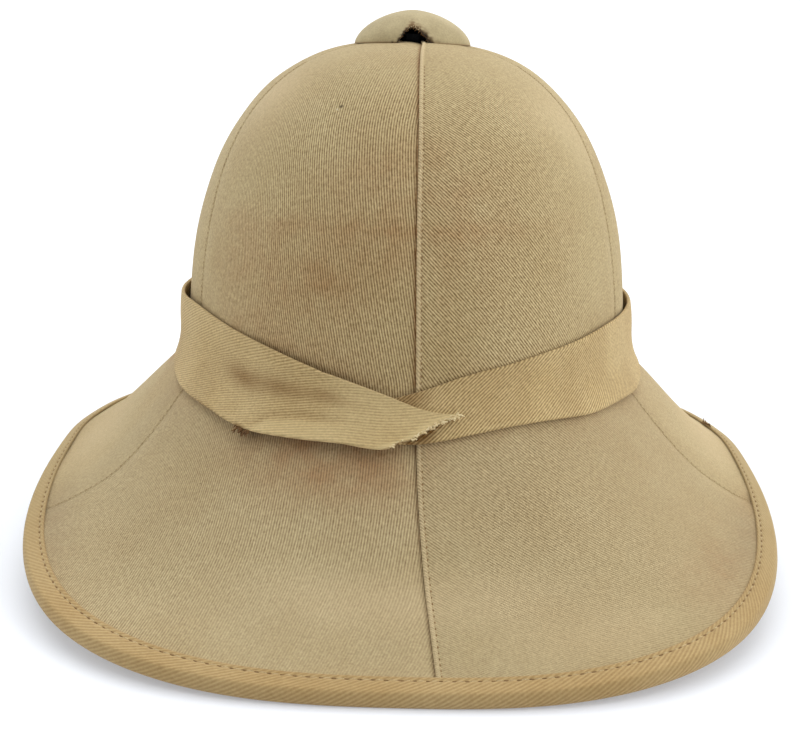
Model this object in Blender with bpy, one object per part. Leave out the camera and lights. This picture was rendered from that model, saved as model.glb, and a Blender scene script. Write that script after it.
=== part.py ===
"""Pith helmet: a moulded cork body covered with six gores of khaki drill.

The frame stands on the surface that the helmet rests on. +Y is the wearer's front,
+X the wearer's right, +Z up, and the origin lies under the middle of the brim's box.
An azimuth is measured in plan from the centre back (0), round by the wearer's right
(90 degrees) and the front (180). A place on the helmet's skin is an azimuth and a
number that runs from 0 at the top of the crown, through 1 where the crown meets the
brim, to 2 at the brim's edge.
"""

import math

import bmesh
import bpy
from mathutils import Matrix, Vector

# Driving dimensions, in metres and degrees
BRIM_WIDTH = 0.300
BRIM_LENGTH = 0.362
BRIM_WIDEST = 0.007          # how far in front of the middle the brim is widest
BRIM_POWER_BACK = 2.9        # 2 is an ellipse, more is squarer
BRIM_POWER_FRONT = 2.0
BRIM_FLARE = 1.55            # 1 is a straight cone, more hollows the brim's slope
POWER_CHANGE = (75.0, 105.0)  # azimuths between which one brim power becomes the other

CROWN_WIDTH = 0.187
CROWN_LENGTH = 0.228
CROWN_HEIGHT = 0.1295
CROWN_SIDE_POWER = 2.54
CROWN_TOP_POWER = 2.44
CROWN_SEAT = Vector((0.0, 0.023, 0.069))
CROWN_LEAN = 2.5             # the top leans this far forward

GAP = 0.0003                 # between pieces that touch
CLOTH = 0.0010               # drill, as glued to the body
CORK_CROWN = 0.0046
CORK_EDGE = 0.0022
BINDING_WALL = 0.0010
BINDING_TOP_WIDTH = 0.0096
BINDING_UNDER_WIDTH = 0.0090
BINDING_NOSE = 0.0003        # extra roundness of the binding's outer fold
REST_DEPTH = 0.0045          # how far in from the edge the resting strips reach
REST_ARC = (13.0, 21.0)      # the strips are flat to the first angle and gone by the second

BAND_THICKNESS = 0.0016
BAND_STANDOFF = 0.0007       # the strip's back to the cloth under it
BAND_BRIDGE = 0.0016         # how far the strip stands off the hollow at the crown's foot
BAND_ENDS = (-6.0, 357.4)    # azimuths of the hidden end and of the frayed end's lower corner
BAND_END_SLANT = 12.0        # how much further round the frayed end's upper tip reaches
BAND_SLANT_FADE = 24.0       # the slant is gone this far from the end
BAND_LIFT_ARC = (312.0, 348.0)  # where the upper layer climbs over the lower one

VENT_HOLE_RADIUS = 0.012     # through the body
COVER_TOP_RADIUS = 0.0145    # where the gores stop, under the cap
CAP_RADIUS = 0.0247
CAP_HEIGHT = 0.0130          # above the top of the crown
CAP_WALL = 0.0020
CAP_POWER = 1.7
CAP_ARCH_WIDTH = 0.0125
CAP_ARCH_HEIGHT = 0.0070
COLLAR_RADIUS = 0.0110
COLLAR_WALL = 0.0014
COLLAR_FLANGE_RADIUS = 0.0170
COLLAR_FLANGE_THICKNESS = 0.0012
COLLAR_LIP = 0.0030          # the tube's rim above the top of the crown
COLLAR_POST = 0.0084         # its posts above the top of the crown

FILLET = (0.97, 1.12)        # the skin is rounded between these places
COVER_PLACES = (0.15, 0.25, 0.36, 0.48, 0.60, 0.72, 0.83, 0.92, 0.97, 1.045, 1.12, 1.35, 1.62)
GORE_COLUMNS = 8
BAND_ROWS = 4
STEP = 1e-4                  # for slopes by small differences

# Height of the brim's lower edge above the floor
RIM_RISE = (
    # azimuth, rise in mm
    (0, 0.0), (15, 0.8), (30, 3.9), (45, 7.8), (60, 13.0), (75, 17.0), (90, 18.9),
    (105, 18.6), (120, 16.6), (135, 12.0), (150, 7.0), (165, 2.2), (180, 0.0),
)

# The gores' seams wander a little, as sewn by hand: azimuths at places down the skin
SEAM_TRACK = (
    # place, centre back, left side, right side
    (0.00, 16.0, -66.0, 66.0),
    (0.06, 11.4, -65.8, 65.8),
    (0.15, 5.6, -65.5, 65.5),
    (0.25, 3.4, -65.0, 65.0),
    (0.38, 2.5, -64.6, 64.8),
    (0.50, 2.2, -64.0, 64.5),
    (0.75, 1.9, -59.0, 61.0),
    (1.00, 2.3, -57.0, 62.0),
    (1.25, 2.6, -55.0, 62.7),
    (1.50, 3.2, -55.4, 63.9),
    (1.75, 3.9, -59.4, 67.2),
    (2.00, 4.2, -62.0, 69.4),
)
FRONT_SIDE_SEAM = 118.0

# The band of cloth round the foot of the crown
BAND_TRACK = (
    # azimuth, heights of the upper and lower edges above the crown's foot in mm
    (-6, 0.0, -12.6), (0, 3.4, -12.8), (4, 5.8, -12.5), (12, 11.1, -10.2), (20, 13.9, -8.6),
    (28, 16.5, -8.4), (39, 19.0, -9.4), (51, 21.4, -9.2), (64, 22.4, -9.6), (80, 24.5, -9.6),
    (95, 25.8, -9.2), (135, 27.0, -8.5), (180, 27.0, -9.0), (225, 26.0, -8.0),
    (270, 24.6, -4.8), (288, 24.4, -6.8), (304, 24.1, -9.6), (319, 21.0, -11.3),
    (332, 17.3, -14.4), (342, 12.8, -14.7), (350, 8.3, -14.7), (357, 3.4, -15.6),
    (364, -2.1, -12.4), (370, -3.7, -10.0),
)

CLOTH_COLOUR = (0.42, 0.33, 0.19)
BAND_COLOUR = (0.47, 0.36, 0.19)
CORK_COLOUR = (0.38, 0.30, 0.19)
METAL_COLOUR = (0.03, 0.03, 0.03)


# --- Small helpers -------------------------------------------------------------------

def smooth(value):
    """0 to 1 with no corner at either end."""
    value = min(1.0, max(0.0, value))
    return value * value * (3.0 - 2.0 * value)


def follow(table, column, x):
    """A smooth curve through one column of a table whose first column is x."""
    last = len(table) - 1
    i = max(0, min(last - 1, sum(row[0] <= x for row in table) - 1))
    x0, x1 = table[i][0], table[i + 1][0]
    y0, y1 = table[i][column], table[i + 1][column]
    before, after = table[max(0, i - 1)], table[min(last, i + 2)]
    slope0 = (y1 - before[column]) / (x1 - before[0])
    slope1 = (after[column] - y0) / (after[0] - x0)
    if i == 0:
        slope0 = 0.0
    if i == last - 1:
        slope1 = 0.0
    u = min(1.0, max(0.0, (x - x0) / (x1 - x0)))
    span = x1 - x0
    return (
        (2 * u ** 3 - 3 * u ** 2 + 1) * y0
        + (u ** 3 - 2 * u ** 2 + u) * span * slope0
        + (3 * u ** 2 - 2 * u ** 3) * y1
        + (u ** 3 - u ** 2) * span * slope1
    )


def from_back(azimuth):
    """The angle from the centre back, 0 to 180, whichever side it is on."""
    return abs((azimuth + 180.0) % 360.0 - 180.0)


# --- The helmet's skin: the outer face of the gores -----------------------------------

def crown_frame():
    """Crown axes to helmet axes: the crown leans forward on its seat."""
    return Matrix.Translation(CROWN_SEAT) @ Matrix.Rotation(-math.radians(CROWN_LEAN), 4, "X")


def crown_top_at(x, y):
    """Height of the crown's skin over a point in plan, in crown axes."""
    out = math.hypot(2.0 * x / CROWN_WIDTH, 2.0 * y / CROWN_LENGTH)
    return CROWN_HEIGHT * (1.0 - out ** CROWN_SIDE_POWER) ** (1.0 / CROWN_TOP_POWER)


def crown_point(azimuth, place):
    """A point of the crown: place 0 at the top, 1 at the foot."""
    out = math.sin(place * math.pi / 2) ** (2.0 / CROWN_SIDE_POWER)
    up = max(0.0, math.cos(place * math.pi / 2)) ** (2.0 / CROWN_TOP_POWER)
    turn = math.radians(azimuth)
    side = math.atan2(CROWN_LENGTH * math.sin(turn), CROWN_WIDTH * math.cos(turn))
    local = Vector((
        CROWN_WIDTH / 2 * out * math.sin(side),
        -CROWN_LENGTH / 2 * out * math.cos(side),
        CROWN_HEIGHT * up,
    ))
    return crown_frame() @ local


def edge_point(azimuth):
    """The cloth's top at the brim's edge, inside the binding."""
    inset = BINDING_WALL + GAP + BINDING_NOSE
    turn = math.radians(azimuth)
    angle = from_back(azimuth)
    change = smooth((angle - POWER_CHANGE[0]) / (POWER_CHANGE[1] - POWER_CHANGE[0]))
    power = BRIM_POWER_BACK + (BRIM_POWER_FRONT - BRIM_POWER_BACK) * change
    half_width = BRIM_WIDTH / 2 - inset
    reach = BRIM_LENGTH / 2 - inset + (BRIM_WIDEST if angle < 90.0 else -BRIM_WIDEST)
    radius = (
        abs(math.sin(turn) / half_width) ** power + abs(math.cos(turn) / reach) ** power
    ) ** (-1.0 / power)
    height = follow(RIM_RISE, 1, angle) / 1000 + edge_stack()
    return Vector((radius * math.sin(turn), BRIM_WIDEST - radius * math.cos(turn), height))


def edge_stack():
    """Everything under the cloth's top at the edge: cloth, cork, binding and gaps."""
    return CLOTH + CORK_EDGE + BINDING_WALL + 2 * GAP


def brim_point(azimuth, run):
    """A point of the brim: run 0 at the crown's foot, 1 at the edge."""
    foot = crown_point(azimuth, 1.0)
    edge = edge_point(azimuth)
    point = foot.lerp(edge, run)
    point.z = foot.z + (edge.z - foot.z) * (1.0 - max(0.0, 1.0 - run) ** BRIM_FLARE)
    return point


def skin(azimuth, place):
    """A point of the skin, rounded where the crown meets the brim."""
    start, end = FILLET
    if start < place < end:
        k = (place - start) / (end - start)
        a = crown_point(azimuth, start)
        b = crown_point(azimuth, 1.0)
        c = brim_point(azimuth, end - 1.0)
        return a * (1 - k) ** 2 + b * 2 * k * (1 - k) + c * k ** 2
    if place <= 1.0:
        return crown_point(azimuth, place)
    return brim_point(azimuth, place - 1.0)


def skin_normal(azimuth, place):
    """The skin's outward direction."""
    low, high = max(STEP, place - STEP), min(2.0, place + STEP)
    down = skin(azimuth, high) - skin(azimuth, low)
    around = skin(azimuth + 0.05, place) - skin(azimuth - 0.05, place)
    return down.cross(around).normalized()


def under(azimuth, place, depth):
    """A point below the skin by a depth, or above it by a negative one."""
    return skin(azimuth, place) - skin_normal(azimuth, place) * depth


def place_from_edge(azimuth, distance):
    """The place whose straight distance from the brim's edge is the given one."""
    return 2.0 - distance / (edge_point(azimuth) - crown_point(azimuth, 1.0)).length


def place_of_rise(azimuth, rise):
    """The place at a height above the crown's foot; below it, out on the brim."""
    height = crown_point(azimuth, 1.0).z + rise
    low, high = 0.5, 1.5
    while high - low > STEP:
        middle = (low + high) / 2
        if skin(azimuth, middle).z > height:
            low = middle
        else:
            high = middle
    return low


def place_at_radius(radius):
    """The place where the crown's skin is a given radius from its axis, at the sides."""
    return math.asin((2 * radius / CROWN_WIDTH) ** (CROWN_SIDE_POWER / 2)) / (math.pi / 2)


def cork_wall(place):
    """The body's thickness, thinner towards the brim's edge."""
    return CORK_CROWN + (CORK_EDGE - CORK_CROWN) * smooth(place - 1.0)


# --- The gores' seams -----------------------------------------------------------------

GORES = ("back_right", "side_right", "front_right", "front_left", "side_left", "back_left")


def seam_azimuth(number, place):
    """Seam 0 and 6 are the centre back; the others follow round by the right."""
    tracks = {
        0: follow(SEAM_TRACK, 1, place),
        1: follow(SEAM_TRACK, 3, place),
        2: FRONT_SIDE_SEAM,
        3: 180.0,
        4: 360.0 - FRONT_SIDE_SEAM,
        5: 360.0 + follow(SEAM_TRACK, 2, place),
        6: 360.0 + follow(SEAM_TRACK, 1, place),
    }
    return tracks[number]


def gore_azimuth(gore, column, place):
    """The azimuth of a gore's column; the columns of all six go once round."""
    first = seam_azimuth(gore, place)
    last = seam_azimuth(gore + 1, place)
    return first + (last - first) * column / GORE_COLUMNS


def places_down(azimuth, top_radius):
    """The rows from the crown's opening to the edge, with one at the binding's edge."""
    places = [place_at_radius(top_radius)]
    places += COVER_PLACES
    places += [place_from_edge(azimuth, BINDING_TOP_WIDTH), 2.0]
    return places


# --- Meshes ---------------------------------------------------------------------------

def mesh_object(name, points, faces, material, parent=None):
    """An object with outward faces from points and faces; quads may be twisted."""
    mesh = bpy.data.meshes.new(name)
    mesh.from_pydata(points, [], faces)
    work = bmesh.new()
    work.from_mesh(mesh)
    bmesh.ops.recalc_face_normals(work, faces=work.faces)
    work.to_mesh(mesh)
    work.free()
    mesh.shade_smooth()
    mesh.set_sharp_from_angle(angle=math.radians(35))
    mesh.materials.append(material)
    obj = bpy.data.objects.new(name, mesh)
    obj.parent = parent
    bpy.context.scene.collection.objects.link(obj)
    return obj


def loops_to_faces(loop_count, loop_size, closed):
    """Triangles that join each loop of points to the next.

    The first half of a loop runs down a wall's outer face and the second back up its
    inner one. Both are split along the same diagonal, so that layers lie parallel.
    """
    faces = []
    for i in range(loop_count if closed else loop_count - 1):
        a = i * loop_size
        b = (i + 1) % loop_count * loop_size
        for j in range(loop_size):
            k = (j + 1) % loop_size
            if j < loop_size // 2:
                faces += [(a + j, b + j, b + k), (a + j, b + k, a + k)]
            else:
                faces += [(a + j, b + j, a + k), (b + j, b + k, a + k)]
    return faces


def swept(name, loops, material, closed, parent=None):
    """A solid through equal loops of points; an open one ends in walls between its sides."""
    size = len(loops[0])
    points = [point for loop in loops for point in loop]
    faces = loops_to_faces(len(loops), size, closed)
    if not closed:
        for start in (0, (len(loops) - 1) * size):
            for j in range(size // 2 - 1):
                faces.append((start + j, start + j + 1, start + size - 2 - j, start + size - 1 - j))
    return mesh_object(name, points, faces, material, parent)


def material(name, colour, roughness, metallic=0.0):
    """A plain finish."""
    made = bpy.data.materials.new(name)
    made.use_nodes = True
    shader = made.node_tree.nodes["Principled BSDF"]
    shader.inputs["Base Color"].default_value = (*colour, 1.0)
    shader.inputs["Roughness"].default_value = roughness
    shader.inputs["Metallic"].default_value = metallic
    made.diffuse_color = (*colour, 1.0)
    return made


# --- The pieces -----------------------------------------------------------------------

def wall_loop(azimuths, places, outer_depth, inner_depth):
    """One loop of a wall's points: down its outer face and back up its inner one."""
    rows = list(zip(azimuths, places))
    outer = [under(a, p, outer_depth) for a, p in rows]
    inner = [under(a, p, inner_depth(p)) for a, p in rows]
    return outer + inner[::-1]


def make_body(finish):
    """The moulded body: crown and brim in one, open below and at the vent."""
    skin_depth = CLOTH + GAP
    loops = []
    for gore in range(len(GORES)):
        for column in range(GORE_COLUMNS):
            rough = gore_azimuth(gore, column, 2.0)
            places = places_down(rough, VENT_HOLE_RADIUS)
            azimuths = [gore_azimuth(gore, column, p) for p in places]
            loops.append(wall_loop(azimuths, places, skin_depth, lambda p: skin_depth + cork_wall(p)))
    return swept("body_shell", loops, finish, closed=True)


def make_gore(number, finish):
    """One gore of cloth from the vent to the brim's edge, clear of its neighbours."""
    loops = []
    for column in range(GORE_COLUMNS + 1):
        rough = gore_azimuth(number, column, 2.0)
        places = places_down(rough, COVER_TOP_RADIUS)
        azimuths = [gore_azimuth(number, column, p) for p in places]
        loop = wall_loop(azimuths, places, 0.0, lambda p: CLOTH)
        loops.append(loop)
    for end, neighbour in ((0, 1), (-1, -2)):
        loops[end] = [
            a + (b - a).normalized() * (GAP / 2) for a, b in zip(loops[end], loops[neighbour])
        ]
    return swept("cover_" + GORES[number], loops, finish, closed=False)


def binding_loop(azimuth):
    """The binding's section: a U over the edge, its lower fold flat where it rests."""
    edge = skin(azimuth, 2.0)
    normal = skin_normal(azimuth, 2.0)
    inward = skin(azimuth, place_from_edge(azimuth, BINDING_TOP_WIDTH))
    out = edge - inward
    out = (out - normal * out.dot(normal)).normalized()
    depth = CLOTH + GAP + CORK_EDGE
    outside, nose = GAP + BINDING_WALL, GAP + BINDING_WALL + BINDING_NOSE

    def at(along, above):
        return edge + out * along + normal * above

    def below(distance, extra):
        place = place_from_edge(azimuth, distance)
        return under(azimuth, place, CLOTH + GAP + cork_wall(place) + extra)

    def above(distance, extra):
        return under(azimuth, place_from_edge(azimuth, distance), -extra)

    shoulder = 0.6 * outside
    fold = [at(0.3 * nose, -depth - shoulder), at(-0.5 * outside, -depth - outside)]
    strip = [below(REST_DEPTH, outside)]
    angle = from_back(azimuth)
    flat = 1.0 - smooth((min(angle, 180.0 - angle) - REST_ARC[0]) / (REST_ARC[1] - REST_ARC[0]))
    for point in fold + strip:
        point.z = max(0.0001 * (1.0 - flat), point.z * (1.0 - flat))
    return [
        above(BINDING_TOP_WIDTH, outside),
        at(-0.5 * outside, outside),
        at(0.6 * nose, shoulder / 2),
        at(nose, -depth / 2),
        *fold,
        *strip,
        below(BINDING_UNDER_WIDTH, outside),
        below(BINDING_UNDER_WIDTH, GAP),
        at(GAP, -depth - GAP),
        at(GAP, GAP),
        above(BINDING_TOP_WIDTH, GAP),
    ]


def make_binding(finish):
    """The bias strip folded round the brim's edge."""
    loops = [
        binding_loop(gore_azimuth(gore, column, 2.0))
        for gore in range(len(GORES))
        for column in range(GORE_COLUMNS)
    ]
    return swept("brim_binding", loops, finish, closed=True)


def even_places(azimuth, first, last):
    """Places from first to last that lie equally far apart along the skin."""
    samples = 24
    places = [first + (last - first) * i / samples for i in range(samples + 1)]
    points = [skin(azimuth, p) for p in places]
    travelled = [0.0]
    for a, b in zip(points, points[1:]):
        travelled.append(travelled[-1] + (b - a).length)
    chosen = []
    for row in range(BAND_ROWS + 1):
        target = travelled[-1] * row / BAND_ROWS
        i = min(samples - 1, sum(t <= target for t in travelled) - 1)
        u = (target - travelled[i]) / (travelled[i + 1] - travelled[i])
        chosen.append(places[i] + (places[i + 1] - places[i]) * u)
    return chosen


def band_loop(turn):
    """The band's section at a way round, which passes 360 where the band laps itself."""
    lift = smooth((turn - BAND_LIFT_ARC[0]) / (BAND_LIFT_ARC[1] - BAND_LIFT_ARC[0]))
    base = BAND_STANDOFF + lift * (BAND_THICKNESS + 2 * GAP)
    near_end = smooth(1.0 - (BAND_ENDS[1] - turn) / BAND_SLANT_FADE)
    outer, inner = [], []
    for row in range(BAND_ROWS + 1):
        across = row / BAND_ROWS
        here = turn + near_end * BAND_END_SLANT * (1.0 - across)
        upper = place_of_rise(here, follow(BAND_TRACK, 1, here) / 1000)
        lower = place_of_rise(here, follow(BAND_TRACK, 2, here) / 1000)
        place = even_places(here, upper, lower)[row]
        stand = base + BAND_BRIDGE * math.sin(math.pi * across)
        inner.append(under(here, place, -stand))
        outer.append(under(here, place, -stand - BAND_THICKNESS))
    return outer + inner[::-1]


def make_band(finish):
    """The folded strip round the crown's foot, its left end lapped over its right."""
    start, end = BAND_ENDS
    coarse, fine = 6.0, 3.0
    turns = []
    turn = start
    while turn < end - 0.5 * fine:
        turns.append(turn)
        turn += fine if turn < 12.0 or turn > 330.0 else coarse
    turns.append(end)
    return swept("pagri_band", [band_loop(t) for t in turns], finish, closed=False)


def cap_columns():
    """Azimuths round the vent cap, closer together at its arch."""
    half = math.degrees(math.asin(CAP_ARCH_WIDTH / 2 / CAP_RADIUS))
    arch = [half * k for k in (-1.0, -0.85, -0.5, 0.0, 0.5, 0.85, 1.0)]
    plain = 22
    step = (360.0 - 2 * half) / plain
    return arch + [half + step * (i + 1) for i in range(plain - 1)]


def cap_loop(azimuth):
    """The cap's wall at an azimuth, from its rim up to the crown's axis and back."""
    turn = math.radians(azimuth)
    half_arch = CAP_ARCH_WIDTH / 2
    across = CAP_RADIUS * math.sin(turn) / half_arch
    arch = 0.0
    if abs(across) < 1.0 and math.cos(turn) > 0.0:
        arch = CAP_ARCH_HEIGHT * math.sqrt(1.0 - across ** 2)
    rows = (0.0, 0.12, 0.35, 0.6, 0.82, 0.96)
    sides = []
    for inset in (0.0, CAP_WALL):
        radius = CAP_RADIUS - inset
        rim_x, rim_y = radius * math.sin(turn), -radius * math.cos(turn)
        seat = crown_top_at(rim_x, rim_y) - CROWN_HEIGHT + GAP
        height = CAP_HEIGHT - inset - seat
        start = math.asin(min(1.0, (arch / height) ** (CAP_POWER / 2)))
        side = []
        for row in rows:
            rise = start + (math.pi / 2 - start) * row
            out = math.cos(rise) ** (2 / CAP_POWER)
            up = math.sin(rise) ** (2 / CAP_POWER)
            side.append(Vector((rim_x * out, rim_y * out, seat + height * up)))
        sides.append(side)
    return sides


def make_cap(finish, axis):
    """The domed cap over the vent, with an arch in its rim at the back."""
    columns = [cap_loop(a) for a in cap_columns()]
    rows = len(columns[0][0])
    count = len(columns)
    outer = [point for column in columns for point in column[0]]
    inner = [point for column in columns for point in column[1]]
    top, ceiling = Vector((0, 0, CAP_HEIGHT)), Vector((0, 0, CAP_HEIGHT - CAP_WALL))
    points = outer + inner + [top, ceiling]
    shift = len(outer)
    faces = []
    for i in range(count):
        a, b = i * rows, (i + 1) % count * rows
        for j in range(rows - 1):
            faces.append((a + j, b + j, b + j + 1, a + j + 1))
            faces.append((shift + a + j, shift + a + j + 1, shift + b + j + 1, shift + b + j))
        faces.append((a + rows - 1, b + rows - 1, len(points) - 2))
        faces.append((shift + b + rows - 1, shift + a + rows - 1, len(points) - 1))
        faces.append((a, shift + a, shift + b, b))
    return mesh_object("vent_cap", points, faces, finish, axis)


def make_collar(finish, axis):
    """The tube through the crown: a flange below, a rim and four posts that hold the cap."""
    columns = 24
    hole_side = crown_top_at(COLLAR_FLANGE_RADIUS, 0.0) - CROWN_HEIGHT
    flange_top = hole_side - CLOTH - CORK_CROWN - 3 * GAP
    flange_bottom = flange_top - COLLAR_FLANGE_THICKNESS
    bore = COLLAR_RADIUS - COLLAR_WALL
    loops = []
    for column in range(columns):
        turn = 2 * math.pi * column / columns
        high = COLLAR_POST if column % 6 in (3, 4) else COLLAR_LIP
        profile = (
            (bore, flange_bottom),
            (COLLAR_FLANGE_RADIUS, flange_bottom),
            (COLLAR_FLANGE_RADIUS, flange_top),
            (COLLAR_RADIUS, flange_top),
            (COLLAR_RADIUS, high),
            (bore, high),
        )
        loops.append([Vector((r * math.sin(turn), -r * math.cos(turn), z)) for r, z in profile])
    return swept("vent_collar", loops, finish, closed=True, parent=axis)


def make_crown_axis():
    """An empty at the top of the crown, leaning with it: the vent is built on it."""
    axis = bpy.data.objects.new("crown_axis", None)
    axis.location = crown_frame() @ Vector((0, 0, CROWN_HEIGHT))
    axis.rotation_euler = (-math.radians(CROWN_LEAN), 0.0, 0.0)
    bpy.context.scene.collection.objects.link(axis)
    return axis


def build():
    for old in list(bpy.data.objects):
        bpy.data.objects.remove(old, do_unlink=True)
    drill = material("khaki_drill", CLOTH_COLOUR, 0.9)
    binding = material("bias_binding", BAND_COLOUR, 0.9)
    cork = material("cork_body", CORK_COLOUR, 0.95)
    metal = material("blackened_metal", METAL_COLOUR, 0.5, 0.6)
    axis = make_crown_axis()
    make_body(cork)
    for number in range(len(GORES)):
        make_gore(number, drill)
    make_binding(binding)
    make_band(binding)
    make_cap(drill, axis)
    make_collar(metal, axis)


build()
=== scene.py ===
"""The looks of a pith helmet: drill gores, bound edge, folded band and ventilator.

Lengths are in millimetres until a mesh is made. An azimuth is in degrees from the centre
back (0), round by the wearer's right (90) and the front (180). A place on the helmet's
skin runs from 0 at the top of the crown, through 1 at its foot, to 2 at the brim's edge.
"""

import math

import bpy
import numpy as np
from mathutils import Matrix, Vector


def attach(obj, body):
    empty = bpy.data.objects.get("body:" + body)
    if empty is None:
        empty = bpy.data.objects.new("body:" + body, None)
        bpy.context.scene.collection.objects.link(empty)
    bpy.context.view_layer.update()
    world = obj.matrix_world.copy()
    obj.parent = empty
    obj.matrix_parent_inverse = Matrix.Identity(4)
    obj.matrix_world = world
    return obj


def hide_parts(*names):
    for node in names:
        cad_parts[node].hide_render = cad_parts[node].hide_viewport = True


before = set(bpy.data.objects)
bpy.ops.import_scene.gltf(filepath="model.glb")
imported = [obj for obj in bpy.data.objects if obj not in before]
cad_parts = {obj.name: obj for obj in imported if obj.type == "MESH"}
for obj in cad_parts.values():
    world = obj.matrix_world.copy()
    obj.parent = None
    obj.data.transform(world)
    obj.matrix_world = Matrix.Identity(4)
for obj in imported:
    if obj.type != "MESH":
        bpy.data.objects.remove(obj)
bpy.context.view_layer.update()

MM = 0.001

# Camera, at the photograph's angle: azimuth 0 looks along +Y
CAMERA_TARGET = (-2.1, 11.45, 59.75)
CAMERA_DISTANCE = 605.8
CAMERA_ELEVATION = 15.72
CAMERA_AZIMUTH = -0.38
CAMERA_ROLL = 1.32
CAMERA_LENS = 61.83
SENSOR_WIDTH = 36.0

WORLD_LIGHT = 0.25
TABLE_GLOW = 0.30
FLOOR_REACH = 60.0           # in metres
SUNS = (
    # name, direction it comes from, softness in degrees, strength
    ("overhead", (0.05, 0.25, 1.0), 80.0, 1.48),
    ("right_panel", (1.0, -0.15, 0.45), 60.0, 1.92),
    ("left_panel", (-1.0, -0.15, 0.45), 60.0, 1.10),
    ("far_panel", (0.0, 1.0, 0.7), 80.0, 1.82),
)

# The skin: the outer face of the drill. It follows the solids, fuller at the sides by 1 mm
BRIM_WIDTH = 302.4
BRIM_LENGTH = 362.0
BRIM_WIDEST = 7.0            # how far forward of its middle the brim is widest
BRIM_POWER_BACK = 2.9        # the squarer its outline, the higher this is: 2 is an ellipse
BRIM_POWER_FRONT = 2.0
POWER_CHANGE = (75.0, 105.0)   # azimuths between which the one gives way to the other
BRIM_FLARE = 1.55            # above 1, the brim falls steeply at first and then levels out
CROWN_WIDTH = 188.6
CROWN_LENGTH = 228.0
CROWN_HEIGHT = 129.5
CROWN_SIDE_POWER = 2.54      # how square the dome's upright section is, outwards and upwards
CROWN_TOP_POWER = 2.44
CROWN_SEAT = (0.0, 23.0, 69.0)   # the middle of its foot
CROWN_LEAN = 2.5             # forwards, in degrees
FILLET = (0.97, 1.12)        # places between which crown and brim are rounded together
GAP = 0.3                    # between one piece and the next
CLOTH = 1.0                  # the drill's thickness, and below it the cork's
CORK_CROWN = 4.6
CORK_EDGE = 2.2
BINDING_WALL = 1.0
BINDING_NOSE = 0.3           # how much further out its fold bulges
BINDING_TOP_WIDTH = 9.6
BINDING_UNDER_WIDTH = 9.0
VENT_HOLE_RADIUS = 12.0
COVER_TOP_RADIUS = 14.5

RIM_RISE = (
    # azimuth, rise of the brim's lower edge
    (0, 0.0), (15, 0.8), (30, 3.9), (45, 7.8), (60, 13.0), (75, 17.0), (90, 18.9),
    (105, 18.6), (120, 16.6), (135, 12.0), (150, 7.0), (165, 2.2), (180, 0.0),
)
RIM_LIFTS = (
    # azimuth, half width round, how much higher the rim is there
    (-98.0, 26.0, -0.7), (103.0, 18.0, -0.6),
)
SIDE_SWELLS = (
    # azimuth, half width round, how much the brim bulges up near its root
    (104.0, 26.0, 4.2), (-104.0, 26.0, 2.4),
)
SEAM_TRACK = (
    # place, azimuths of the seams at the centre back, left side and right side
    (0.00, 16.0, -66.0, 66.0), (0.06, 11.4, -65.8, 65.8), (0.15, 5.6, -65.5, 65.5),
    (0.25, 3.4, -65.0, 65.0), (0.38, 2.5, -64.6, 64.8), (0.50, 2.2, -64.0, 64.5),
    (0.75, 1.9, -59.0, 61.0), (1.00, 2.3, -57.0, 62.0), (1.25, 2.6, -55.0, 62.7),
    (1.50, 3.2, -55.4, 63.9), (1.75, 3.9, -59.4, 67.2), (2.00, 4.2, -62.0, 69.4),
)
FRONT_SIDE_SEAM = 118.0
BAND_TRACK = (
    # azimuth, heights of the band's upper and lower edges above the crown's foot
    (-6, 0.0, -12.6), (0, 3.4, -12.8), (4, 5.8, -12.5), (12, 11.1, -10.2), (20, 13.9, -8.6),
    (28, 16.5, -8.4), (39, 19.0, -9.4), (51, 21.4, -9.2), (64, 22.2, -9.6), (80, 22.8, -7.6),
    (95, 23.8, -6.0), (135, 26.0, -8.5), (180, 27.0, -9.0), (225, 26.0, -8.0),
    (270, 24.6, -4.8), (288, 24.4, -6.8), (304, 24.1, -9.6), (319, 21.0, -11.3),
    (332, 17.3, -14.4), (342, 12.8, -14.7), (350, 8.3, -14.7), (357, 3.4, -15.6),
    (364, -2.1, -12.4), (370, -3.7, -10.0),
)

# Seams: one gore's folded edge lies over its neighbour's raw one
SEAM_RELIEF = (
    # distance in from the fold, height above the skin
    (0.0, 0.34), (0.25, 0.68), (0.7, 0.86), (1.2, 0.74), (1.85, 0.34), (2.5, 0.46),
    (3.4, 0.42), (5.0, 0.24), (8.5, 0.0),
)
FOLD_UNDERSIDE = (
    # distance in from the fold, depth of the cloth's back below the skin
    (0.0, 0.05), (2.8, 0.15), (5.0, 0.9), (6.0, 1.0),
)
UNDERLAP_DEPTH = (
    # distance from the fold, the lapped side's depth below the skin
    (-2.6, 0.5), (0.0, 0.5), (1.2, 0.2), (4.5, 0.0),
)
UNDERLAP = 2.4
SIDE_SEAM_SHARE = 0.11       # the side seams' relief, as a share of the centre back's
STITCH_INSETS = (1.85, 0.85)   # from the fold, at the centre back and at the sides
STITCH_UNEVENNESS = 0.16     # how much a stitch's size may differ, as a share
SEWN_PLACES = (0.27, 1.9)    # the stitching shows between these places
SEAM_SEWING = {
    "Spacing": 2.4, "Thread Length": 1.4, "Thread Width": 0.4, "Hole Length": 0.95, "Hole Width": 0.72,
}
BINDING_SEWING = {
    "Spacing": 4.2, "Thread Length": 2.5, "Thread Width": 0.55, "Hole Length": 1.7, "Hole Width": 0.66,
}
BINDING_STITCH_INSET = 2.4
BINDING_SPRING = (
    # angle from the back, how far the strip's inner edge has sprung up, its width's share
    (0, 0.0, 1.0), (30, 0.0, 1.0), (55, 0.2, 0.97), (70, 0.4, 0.86), (80, 0.45, 0.74),
    (92, 0.5, 0.62), (108, 0.45, 0.56), (128, 0.3, 0.7), (150, 0.2, 1.0), (180, 0.0, 1.0),
)

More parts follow.
